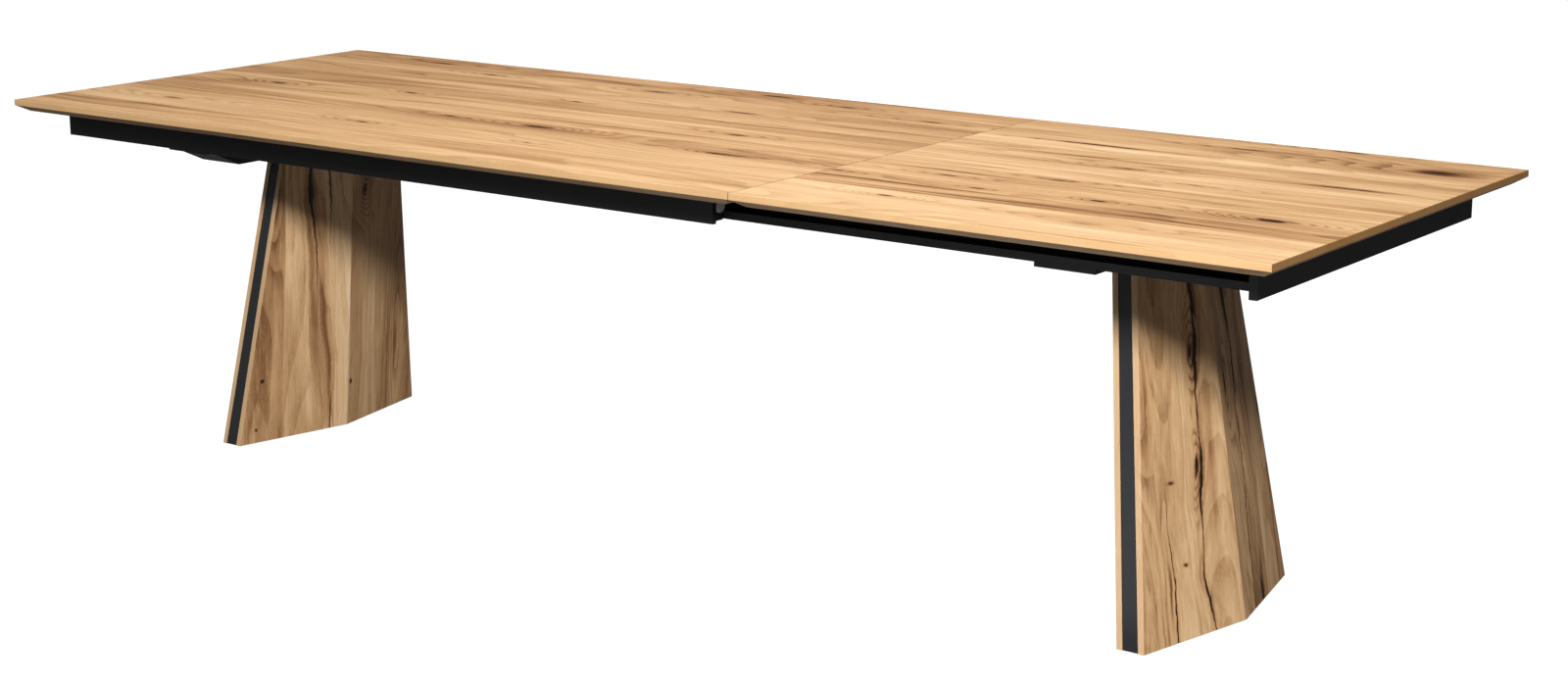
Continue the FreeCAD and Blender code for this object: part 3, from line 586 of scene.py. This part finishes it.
# %% Powder coat, steel and aluminium
def powder_coat(name, dark, light, gloss):
    """A skin of two noises: 2.5 mm waves and 0.35 mm grain.  Its colour follows the waves a little."""
    tree = new_tree(name)
    x, y, z = place_of(tree)
    waves = noise(tree, x * 400.0, y * 400.0, z * 400.0, 1.0)
    grain = noise(tree, x * 2800.0, y * 2800.0, z * 2800.0, 2.0)
    haze = noise(tree, x * 3.0, y * 3.0, z * 3.0, 3.0)
    colour = mix(tree, waves * 0.5 + haze * 0.5, dark, light)
    roughness = haze.between(0.3, 0.7, gloss - 0.04, gloss + 0.06) + grain * 0.05
    height = waves * 0.7 + grain * 0.3
    return finish_of(name, colour, roughness, height, relief=0.00012, Specular_IOR_Level=0.5)


def drawn_metal(name, dark, light, gloss, stretch, relief=0.00004):
    """Metal with fine lines along its long way: noise squeezed across and stretched along."""
    tree = new_tree(name)
    x, y, z = place_of(tree)
    lines = noise(tree, x * stretch[0], y * stretch[1], z * stretch[2], 3.0, 0.6)
    patches = noise(tree, x * 14.0, y * 14.0, z * 14.0, 3.0)
    colour = mix(tree, lines * 0.6 + patches * 0.4, dark, light)
    roughness = lines.between(0.2, 0.8, gloss - 0.06, gloss + 0.10) + patches * 0.06
    return finish_of(name, colour, roughness, lines, relief=relief, Metallic=1.0)


finishes["frame_black"] = powder_coat("frame_black", (0.0042, 0.0043, 0.0046), (0.0075, 0.0078, 0.0084),
                                      0.38)
finishes["foot_black"] = powder_coat("foot_black", (0.0180, 0.0185, 0.0200), (0.0260, 0.0268, 0.0290),
                                     0.40)
finishes["guide_aluminium"] = drawn_metal("guide_aluminium", (0.30, 0.31, 0.33), (0.46, 0.47, 0.49), 0.34,
                                          (8.0, 900.0, 900.0))
finishes["raw_steel"] = drawn_metal("raw_steel", (0.16, 0.16, 0.17), (0.30, 0.30, 0.31), 0.42,
                                    (30.0, 600.0, 600.0))
finishes["zinc_steel"] = drawn_metal("zinc_steel", (0.36, 0.37, 0.38), (0.60, 0.60, 0.58), 0.30,
                                     (220.0, 220.0, 220.0))
print("metal finishes:", [name for name in finishes if "oak" not in name])

# %% [markdown]
# ## Plastic, rubber, felt and beech
# The small parts are moulded or cut from stock.  Moulded plastic is even and faintly spark-textured,
# rubber is duller, felt is a mat of short fibres that lie every way, and a dowel is beech with short dark
# flecks along its length.

# %% Small-part finishes
def moulded(name, dark, light, gloss, grain_size, relief):
    """Moulded plastic or rubber: an even colour with a fine grain of one size."""
    tree = new_tree(name)
    x, y, z = place_of(tree)
    scale = 1.0 / grain_size
    grain = noise(tree, x * scale, y * scale, z * scale, 3.0, 0.6)
    patches = noise(tree, x * 40.0, y * 40.0, z * 40.0, 2.0)
    colour = mix(tree, grain * 0.5 + patches * 0.5, dark, light)
    roughness = grain.between(0.25, 0.75, gloss - 0.06, gloss + 0.08) + patches * 0.04
    return finish_of(name, colour, roughness, grain, relief=relief)


def felt(name, dark, light):
    """Felt: two fibre noises, each stretched another way, where the brighter fibre lies on top."""
    tree = new_tree(name)
    x, y, z = place_of(tree)
    first = noise(tree, x * 300.0, y * 2600.0, z * 1500.0, 3.0, 0.6, 1.2)
    second = noise(tree, x * 2600.0, y * 300.0, z * 1500.0, 3.0, 0.6, 1.2)
    fibres = first.math("MAXIMUM", second)
    colour = mix(tree, fibres.between(0.40, 0.72), dark, light)
    roughness = fibres * 0.15 + 0.82
    return finish_of(name, colour, roughness, fibres, relief=0.0004, Sheen_Weight=0.3)


def beech(name):
    """Beech: pale wood, streaked along X, with short dark flecks."""
    tree = new_tree(name)
    x, y, z = place_of(tree)
    streaks = noise(tree, x * 30.0, y * 700.0, z * 700.0, 3.0, 0.6)
    flecks = noise(tree, x * 300.0, y * 2200.0, z * 2200.0, 1.0).between(0.60, 0.70)
    colour = mix(tree, streaks, (0.50, 0.32, 0.17), (0.68, 0.49, 0.30))
    colour = mix(tree, flecks * 0.5, colour, (0.28, 0.14, 0.06))
    roughness = streaks * 0.15 + 0.5
    return finish_of(name, colour, roughness, streaks - flecks, relief=0.00015)


finishes["cap_plastic"] = moulded("cap_plastic", (0.006, 0.006, 0.007), (0.013, 0.013, 0.014), 0.42,
                                  0.0006, 0.00006)
# The buffer's pale grey is partly the rubber's own colour and partly painted light, lifted because the disc
# sits in shade.
finishes["buffer_rubber"] = moulded("buffer_rubber", (0.52, 0.49, 0.45), (0.64, 0.60, 0.55), 0.62,
                                    0.0009, 0.0001)
finishes["roller_plastic"] = moulded("roller_plastic", (0.62, 0.61, 0.57), (0.74, 0.73, 0.69), 0.36,
                                     0.0008, 0.00004)
finishes["glide_plastic"] = moulded("glide_plastic", (0.016, 0.016, 0.017), (0.035, 0.035, 0.037), 0.48,
                                    0.0007, 0.00008)
finishes["felt"] = felt("felt", (0.020, 0.020, 0.022), (0.085, 0.085, 0.090))
finishes["dowel_beech"] = beech("dowel_beech")
print("finishes so far:", len(finishes))

# %% [markdown]
# ## The feet
# Each foot is two oak boards, folded down their middle, with a dark steel bar between them at both ends.
# A flat CAD board would do at a distance, but the boards have open cracks that run their whole height, and
# a crack needs depth.  So each board is built again as a surface of two numbers: how far across the foot,
# from -1 at the near end to 1 at the far end, and how far up it, from 0 to 1.  The CAD board gives the
# corners, and the surface fills in between them.  The cracks are carved into it, and each crack also goes
# into the mesh as an attribute, so that the colour and the groove can't drift apart.

# %% Corners of a foot board
same_place = 0.0001


def board_corners(node, outward):
    """Half length, and the visible and hidden X at the middle and the ends, at the board's foot and top.

    outward is +1 where the board's visible face looks along +X, and -1 where it looks along -X.
    """
    mesh = frame["nodes"][node].data
    places = np.empty(len(mesh.vertices) * 3, np.float32)
    mesh.vertices.foreach_get("co", places)
    places = places.reshape(-1, 3).astype(float)
    levels = []
    for height in (places[:, 2].min(), places[:, 2].max()):
        level = places[np.abs(places[:, 2] - height) < same_place]
        half_length = level[:, 1].max()
        row = [height, half_length]
        for across in (0.0, half_length):
            found = level[np.abs(level[:, 1] - across) < same_place][:, 0] * outward
            row += [found.max() * outward, found.min() * outward]
        levels.append(row)
    return np.array(levels)


corner_table = board_corners("right_foot_outer_panel", 1)
print("right foot, outer board, bottom corners:", np.round(corner_table[0], 3))

# %% [markdown]
# A crack is a line of stops up the board and a width at each.  A path's stops are (share of the
# height, share of the half length across), and a width's are (share of the height, millimetres).  A width
# below zero lets the crack fade out.

# %% The cracks
crack_paths = {
    "right_foot_outer_panel": (
        ((0.00, -0.30), (0.05, -0.315), (0.13, -0.363), (0.20, -0.367), (0.27, -0.351), (0.36, -0.342),
         (0.43, -0.304), (0.51, -0.300), (0.60, -0.310), (0.70, -0.280), (0.75, -0.250), (0.83, -0.260),
         (1.00, -0.280)),
        ((0.00, -0.665), (0.13, -0.670), (0.22, -0.695), (0.30, -0.726), (0.45, -0.750), (1.00, -0.80)),
        ((0.00, 0.24), (0.20, 0.287), (0.31, 0.355), (0.43, 0.380), (0.55, 0.390), (0.69, 0.460),
         (0.86, 0.390), (1.00, 0.330)),
    ),
    "left_foot_inner_panel": (
        ((0.00, -0.24), (0.09, -0.25), (0.24, -0.31), (0.39, -0.364), (0.50, -0.377), (0.62, -0.416),
         (0.74, -0.474), (0.84, -0.575), (1.00, -0.610)),
        ((0.00, -0.165), (0.09, -0.165), (0.27, -0.140), (0.39, -0.195), (0.69, -0.270), (0.86, -0.295),
         (1.00, -0.380)),
    ),
    "right_foot_inner_panel": (
        ((0.00, 0.42), (0.25, 0.47), (0.50, 0.41), (0.75, 0.45), (1.00, 0.37)),
    ),
    "left_foot_outer_panel": (
        ((0.00, 0.30), (0.30, 0.26), (0.55, 0.33), (0.80, 0.28), (1.00, 0.34)),
    ),
}
crack_widths = {
    "right_foot_outer_panel": (
        ((0.00, 0.7), (0.07, 1.6), (0.15, 2.4), (0.20, 0.7), (0.28, 0.6), (0.34, 2.0), (0.40, 4.0),
         (0.44, 3.2), (0.48, 0.7), (0.60, 0.7), (0.66, 2.8), (0.72, 5.0), (0.76, 1.8), (0.84, 2.8),
         (1.00, 3.4)),
        ((0.00, 1.7), (0.12, 1.1), (0.25, 0.5), (0.36, 0.1), (0.42, -0.10), (1.00, -0.10)),
        ((0.00, 0.7), (0.20, 1.4), (0.40, 1.7), (0.60, 1.4), (0.72, 2.4), (0.90, 3.2), (1.00, 2.6)),
    ),
    "left_foot_inner_panel": (
        ((0.00, -0.10), (0.40, -0.10), (0.52, 0.10), (0.62, 0.5), (0.72, 1.3), (0.80, 3.8), (0.86, 5.8),
         (0.92, 2.6), (1.00, 1.2)),
        ((0.00, 0.9), (0.08, 0.5), (0.15, -0.10), (0.55, -0.10), (0.70, 0.1), (0.85, 1.8), (0.91, 2.0),
         (1.00, 0.9)),
    ),
    "right_foot_inner_panel": (
        ((0.00, 2.0), (0.30, 1.2), (0.55, 3.0), (0.62, 1.2), (1.00, 0.8)),
    ),
    "left_foot_outer_panel": (
        ((0.00, 0.8), (0.28, 2.6), (0.40, 1.2), (0.80, 1.8), (1.00, 2.4)),
    ),
}
print("boards with cracks:", list(crack_paths))

# %% [markdown]
# Stops joined by straight lines would look cut with a saw.  A crack tears between the fibres, so its line
# wanders and its width flutters, both by a sum of sines whose pitches have no common beat.

# %% Torn edges
crack_depth = 1.6 * millimetre
crack_wander = 0.9 * millimetre
crack_tear = 0.16
crack_rim = 0.2 * millimetre
full_depth_width = 1.2 * millimetre
flow_reach = 45.0 * millimetre


def smooth_path(heights, stops):
    """A smooth curve through given stops: straight from each stop to the next, then a few rounds of
    averaging with the neighbours, so that no corner is left at a stop."""
    rounds = 3
    places = np.array(stops)
    values = np.interp(heights, places[:, 0], places[:, 1])
    for _ in range(rounds):
        padded = np.concatenate((values[:1], values, values[-1:]))
        values = (padded[:-2] + 2 * padded[1:-1] + padded[2:]) / 4
    return values


def ragged(heights, seed):
    """A torn edge: the sum of four sines of unrelated pitch, each weaker than the one before."""
    waves = ((31.0, 1.0), (67.0, 0.7), (149.0, 0.5), (283.0, 0.4))
    return sum(size * np.sin(pitch * heights + seed * (index + 1.7))
               for index, (pitch, size) in enumerate(waves))


print("cracks:", sum(len(paths) for paths in crack_paths.values()))

# %% [markdown]
# The board is two grids, one for the visible face and one for the hidden face, sewn together round their
# rims.  The rim of the visible face is eased: its outermost points lie a little deeper, which leaves the
# narrow bevel that sandpaper leaves on a real arris.

# %% A foot board as a surface
arris = 0.8 * millimetre
board_columns = 175
board_rows = 94
fold_sharpness = math.radians(8.0)
far_away = 50.0


def sewn_faces(rows, columns):
    """Quads of two grids of the same size, front then back, and of the four strips between their rims."""
    front = np.arange(rows * columns).reshape(rows, columns)
    back = front + rows * columns

    def strip(a, b, c, d):
        return np.stack((a, b, c, d), axis=-1).reshape(-1, 4)

    return np.concatenate((
        strip(front[:-1, :-1], front[:-1, 1:], front[1:, 1:], front[1:, :-1]),
        strip(back[:-1, :-1], back[1:, :-1], back[1:, 1:], back[:-1, 1:]),
        strip(back[:-1, 0], front[:-1, 0], front[1:, 0], back[1:, 0]),
        strip(front[:-1, -1], back[:-1, -1], back[1:, -1], front[1:, -1]),
        strip(back[0, :-1], back[0, 1:], front[0, 1:], front[0, :-1]),
        strip(front[-1, :-1], front[-1, 1:], back[-1, 1:], back[-1, :-1]),
    ))


def foot_board(name, node, outward):
    """One folded board.

    At height v and across u, Y is u times the half length at v.  X runs straight from its value at the
    fold to its value at the end, by the size of u.  Each crack then pulls X inwards by its depth times
    e to the power of minus s squared, where s is the distance from the crack over the crack's width and
    rim.  A narrow crack is shallower.  The grain flow is how far each crack leans there, fading sideways.
    """
    corners = board_corners(node, outward)
    v = np.linspace(0.0, 1.0, board_rows)
    row = corners[0] + v[:, None] * (corners[1] - corners[0])
    height, half_length, fold_x, fold_hidden, end_x, end_hidden = row.T
    inset = arris / corners[0][1]
    u = np.concatenate(([-1.0], np.linspace(-1.0 + inset, 1.0 - inset, board_columns), [1.0]))
    across = u[None, :] * half_length[:, None]
    share = np.abs(u)[None, :]
    face = fold_x[:, None] * (1 - share) + end_x[:, None] * share
    hidden = fold_hidden[:, None] * (1 - share) + end_hidden[:, None] * share

    sides = []
    flow = np.zeros_like(across)
    for number, (path, widths) in enumerate(zip(crack_paths[node], crack_widths[node])):
        centre = smooth_path(v, path) * half_length + ragged(v, number + 0.4) * crack_wander
        width = smooth_path(v, widths) * millimetre * (1 + ragged(v, number + 2.9) * crack_tear)
        away = across - centre[:, None]
        side = away / (width[:, None] + crack_rim)
        wide_enough = np.clip(width[:, None] / full_depth_width, 0.0, 1.0)
        face = face - outward * crack_depth * wide_enough * np.exp(-side ** 2)
        flow = flow + (centre - centre.mean())[:, None] * np.exp(-(away / flow_reach) ** 2)
        sides.append(side)
    for rim in (0, -1):
        face[:, rim] -= outward * arris

    columns = len(u)
    front = np.stack((face, across, np.repeat(height[:, None], columns, 1)), axis=-1)
    back = np.stack((hidden, across, np.repeat(height[:, None], columns, 1)), axis=-1)
    places = np.concatenate((front.reshape(-1, 3), back.reshape(-1, 3)))
    faces = sewn_faces(board_rows, columns)
    if outward < 0:
        faces = faces[:, ::-1]
    mesh = bpy.data.meshes.new(name)
    mesh.from_pydata(places.tolist(), [], faces.tolist())
    for index, side in enumerate(sides):
        values = np.concatenate((np.clip(side, -far_away, far_away).ravel(), np.full(side.size, far_away)))
        attribute = mesh.attributes.new(f"crack_{index}", "FLOAT", "POINT")
        attribute.data.foreach_set("value", values.astype(np.float32))
    values = np.concatenate((flow.ravel(), np.zeros(flow.size)))
    attribute = mesh.attributes.new("grain_flow", "FLOAT", "POINT")
    attribute.data.foreach_set("value", values.astype(np.float32))
    mesh.shade_smooth()
    mesh.set_sharp_from_angle(angle=fold_sharpness)
    board = bpy.data.objects.new(name, mesh)
    bpy.context.scene.collection.objects.link(board)
    print(name, "faces:", len(mesh.polygons))
    return board


print("grid of a board's face:", board_rows, "by", board_columns + 2)


# %% [markdown]
# Upright boards: along the grain is Z now.  The grain leans with the cracks through the flow attribute,
# which says how far sideways the fibres have been pushed.  A stave is (share of the width, tone, figure),
# and a mark is (height, place across, half height and half width in millimetres, darkness, hill).

# %% Oak of the feet
foot_looks = {
    "right_foot_outer_panel": {
        "staves": ((0.00, 0.66, 0.9), (0.155, 0.74, 0.4), (0.340, 0.70, 0.3), (0.500, 0.62, 0.3),
                   (0.640, 0.56, 0.4), (0.780, 0.64, 0.5), (0.920, 0.54, 0.3)),
        "marks": ((0.480, -0.080, 30, 8, 0.55, 1.6), (0.288, -0.078, 26, 7, 0.50, 1.4),
                  (0.560, -0.210, 12, 4, 0.50, 0.6), (0.272, -0.142, 3, 8, 0.55, 0.0),
                  (0.128, -0.120, 3, 7, 0.80, 0.0), (0.410, 0.030, 42, 9, 0.50, 1.6),
                  (0.330, 0.210, 40, 7, 0.50, 0.8), (0.450, -0.215, 90, 16, 0.18, 1.8),
                  (0.100, -0.170, 120, 8, 0.30, 0.4), (0.620, -0.060, 160, 12, 0.30, 0.4),
                  (0.560, 0.075, 120, 14, 0.30, 0.6), (0.250, -0.040, 160, 9, 0.20, 0.0),
                  (0.020, 0.120, 40, 9, 0.45, 0.6)),
        "seed": 5.0, "lines": 3, "outward": 1, "body": "carriage"},
    "right_foot_inner_panel": {
        "staves": ((0.00, 0.64, 0.5), (0.180, 0.72, 0.6), (0.330, 0.60, 0.3), (0.500, 0.68, 0.8),
                   (0.660, 0.62, 0.4), (0.830, 0.70, 0.5)),
        "marks": ((0.420, -0.140, 34, 10, 0.50, 1.8), (0.200, 0.080, 20, 6, 0.60, 1.0),
                  (0.520, 0.150, 120, 9, 0.25, 0.4), (0.120, -0.060, 140, 8, 0.22, 0.4)),
        "seed": 23.0, "lines": 1, "outward": -1, "body": "carriage"},
    "left_foot_outer_panel": {
        "staves": ((0.00, 0.62, 0.6), (0.170, 0.68, 0.4), (0.340, 0.58, 0.7), (0.500, 0.66, 0.3),
                   (0.680, 0.60, 0.5), (0.840, 0.66, 0.6)),
        "marks": ((0.260, -0.120, 40, 11, 0.48, 1.8), (0.480, 0.040, 22, 6, 0.60, 1.0),
                  (0.150, 0.160, 130, 9, 0.25, 0.4), (0.500, -0.100, 120, 8, 0.22, 0.4)),
        "seed": 37.0, "lines": 1, "outward": -1, "body": "main_frame"},
    "left_foot_inner_panel": {
        # The stave at 0.400, beside the fold, is a paler board, and its tone of 0.90 is partly painted light,
        # lifted against the shade that falls there.
        "staves": ((0.00, 0.58, 0.5), (0.190, 0.70, 0.4), (0.300, 0.76, 0.3), (0.400, 0.90, 0.3),
                   (0.500, 0.66, 0.5), (0.720, 0.62, 0.4), (0.880, 0.52, 0.3)),
        "marks": ((0.592, 0.050, 24, 15, 0.66, 2.6), (0.528, 0.044, 26, 13, 0.46, 1.6),
                  (0.140, -0.212, 3.5, 3, 0.90, 0.0), (0.032, -0.224, 3, 2.5, 0.80, 0.0),
                  (0.100, 0.004, 4.5, 4.5, 0.95, 0.0), (0.560, -0.190, 60, 10, 0.30, 1.0),
                  (0.600, -0.020, 50, 5, 0.40, 0.4), (0.200, -0.070, 190, 6, 0.28, 0.0),
                  (0.330, -0.095, 220, 7, 0.20, 0.0), (0.150, 0.180, 100, 12, 0.25, 1.0)),
        "seed": 51.0, "lines": 2, "outward": 1, "body": "main_frame"},
}


print("boards with a look:", list(foot_looks))

# %% [markdown]
# The boards ride with the foot they belong to, since one foot stands still and the other is drawn out with
# the carriage, and each takes the place of the plain CAD panel of the same name.

# %% Make the four boards
def oak_foot(name, look, half_length):
    """The oak of one foot board: boards along Z, and paler edge grain on the ends that look along Y."""
    tree = new_tree(name)
    x, y, z = place_of(tree)
    attribute = tree.nodes.new("ShaderNodeAttribute")
    attribute.attribute_name = "grain_flow"
    pushed = y - Flow(tree, attribute.outputs["Fac"])
    marks = [(up_place, across, half_tall * millimetre, half_wide * millimetre, darkness, hill)
             for up_place, across, half_tall, half_wide, darkness, hill in look["marks"]]
    colour, roughness, height = oak_values(
        tree, z, pushed, x, look["staves"], (-half_length, half_length), marks,
        lines=look["lines"], grain_seed=look["seed"])
    at_end = facing_of(tree)[1].between(0.6, 0.9)
    edge = noise(tree, x * 300.0, y * 40.0, z * 4.0, 3.0, 0.6)
    edge_colour = mix(tree, edge, *foot_edge_tints)
    colour = mix(tree, at_end * 0.85, colour, edge_colour)
    return finish_of(name, colour, roughness, height, relief=0.00022, Specular_IOR_Level=0.38)


for node, look in foot_looks.items():
    board_name = node.replace("panel", "board")
    board = foot_board(board_name, node, look["outward"])
    board.data.materials.append(oak_foot(board_name, look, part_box(node)[1].y))
    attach(board, look["body"])
    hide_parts(node)
print("boards made:", len(foot_looks))

# %% [markdown]
# ## Putting the finishes on
# The record says which finish each CAD node has, so one loop gives all of them theirs.  The four foot panels
# are passed over, because the boards above stand in their place.  The corner bolts show on the end beams
# and are coated with them.

# %% Finish every CAD node
finished = 0
for subpart in frame["record"]["subparts"]:
    node = frame["nodes"][subpart["node"]]
    if subpart["material_slot"] not in finishes:
        continue
    node.data.materials.clear()
    coated = subpart["node"].endswith("corner_bolts")
    node.data.materials.append(finishes["frame_black" if coated else subpart["material_slot"]])
    finished += 1
print("CAD nodes finished:", finished)

# %% [markdown]
# ## The studio
# The backdrop and the floor look white, yet they may not light the table: a really white room would fill
# every shadow, and the feet would lose theirs.  So both are bright only for the rays that come from the
# camera, which the Light Path node tells apart, and dim for the rays that carry light.  A large soft box
# hangs over the top.  The key light stands on the camera's side, low enough to reach under the table and
# leave only the upper part of each foot in the top's shadow.  A weaker one behind does the same for the
# back, and a faint one fills in from the left.  The last lies on the floor in front of the right foot and is
# only mirrored, in the black steel, as a bright floor would be.

# %% Floor and backdrop
floor_half = 40.0
fill_strength = 0.085
floor_glow = 0.98
floor_tints = ((0.14, 0.14, 0.14), (0.15, 0.15, 0.15))
white = (1.0, 1.0, 1.0, 1.0)


def seen_directly(tree):
    """1 for a ray from the camera and 0 for a ray that carries light."""
    return Flow(tree, tree.nodes.new("ShaderNodeLightPath").outputs["Is Camera Ray"])


floor_mesh = bpy.data.meshes.new("studio_floor")
floor_mesh.from_pydata([(-floor_half, -floor_half, 0), (floor_half, -floor_half, 0),
                        (floor_half, floor_half, 0), (-floor_half, floor_half, 0)], [], [(0, 1, 2, 3)])
floor = bpy.data.objects.new("studio_floor", floor_mesh)
bpy.context.scene.collection.objects.link(floor)
floor_tree = new_tree("studio_floor")
floor_x, floor_y, _ = place_of(floor_tree)
floor_cloud = noise(floor_tree, floor_x * 0.8, floor_y * 0.8, 0.0, 2.0)
floor_colour = mix(floor_tree, floor_cloud, *floor_tints)
floor_finish = finish_of("studio_floor", floor_colour, floor_cloud * 0.1 + 0.8, Specular_IOR_Level=0.0,
                         Emission_Color=white)
connect(floor_tree, floor_tree.nodes["Principled BSDF"].inputs["Emission Strength"],
        seen_directly(floor_tree) * floor_glow)
floor_mesh.materials.append(floor_finish)

world = bpy.data.worlds.new("studio")
world.use_nodes = True
backdrop = world.node_tree.nodes["Background"]
backdrop.inputs["Color"].default_value = white
connect(world.node_tree, backdrop.inputs["Strength"],
        seen_directly(world.node_tree).between(0.0, 1.0, fill_strength, 1.0, smooth=False))
bpy.context.scene.world = world
bpy.context.scene.view_settings.view_transform = "Standard"
print("floor width in metres:", 2 * floor_half)

# %% Lights
def soft_box(name, place, target, size, watts, glossy=False, diffuse=True):
    """A rectangular light that faces its target.

    Without glossy it lights a surface but isn't mirrored in it, as if a polarising filter took its glare.
    Without diffuse it is only mirrored.
    """
    data = bpy.data.lights.new(name, "AREA")
    data.shape = "RECTANGLE"
    data.size, data.size_y = size
    data.energy = watts
    light = bpy.data.objects.new(name, data)
    light.visible_glossy = glossy
    light.visible_diffuse = diffuse
    light.visible_camera = False
    bpy.context.scene.collection.objects.link(light)
    direction = Vector(target) - Vector(place)
    light.rotation_mode = "QUATERNION"
    light.rotation_quaternion = direction.to_track_quat("-Z", "Y")
    light.location = place


soft_box("key", place=(3.5, -4.7, 3.6), target=(0.2, 0.0, 0.45), size=(0.9, 0.9), watts=560.0)
soft_box("overhead", place=(0.1, -0.1, 3.5), target=(0.1, 0.0, 0.7), size=(2.4, 2.0), watts=78.0)
soft_box("left_fill", place=(-5.5, -4.0, 2.6), target=(-0.4, 0.0, 0.4), size=(3.0, 2.0), watts=20.0,
         glossy=True)
soft_box("back_fill", place=(-3.4, 5.6, 2.2), target=(0.0, 0.0, 0.45), size=(2.4, 1.8), watts=230.0)
soft_box("floor_sheen", place=(0.5, -0.95, 0.02), target=(0.5, -0.95, 1.0), size=(1.0, 1.2), watts=5.0,
         glossy=True, diffuse=False)
print("lights:", [light.name for light in bpy.data.lights])
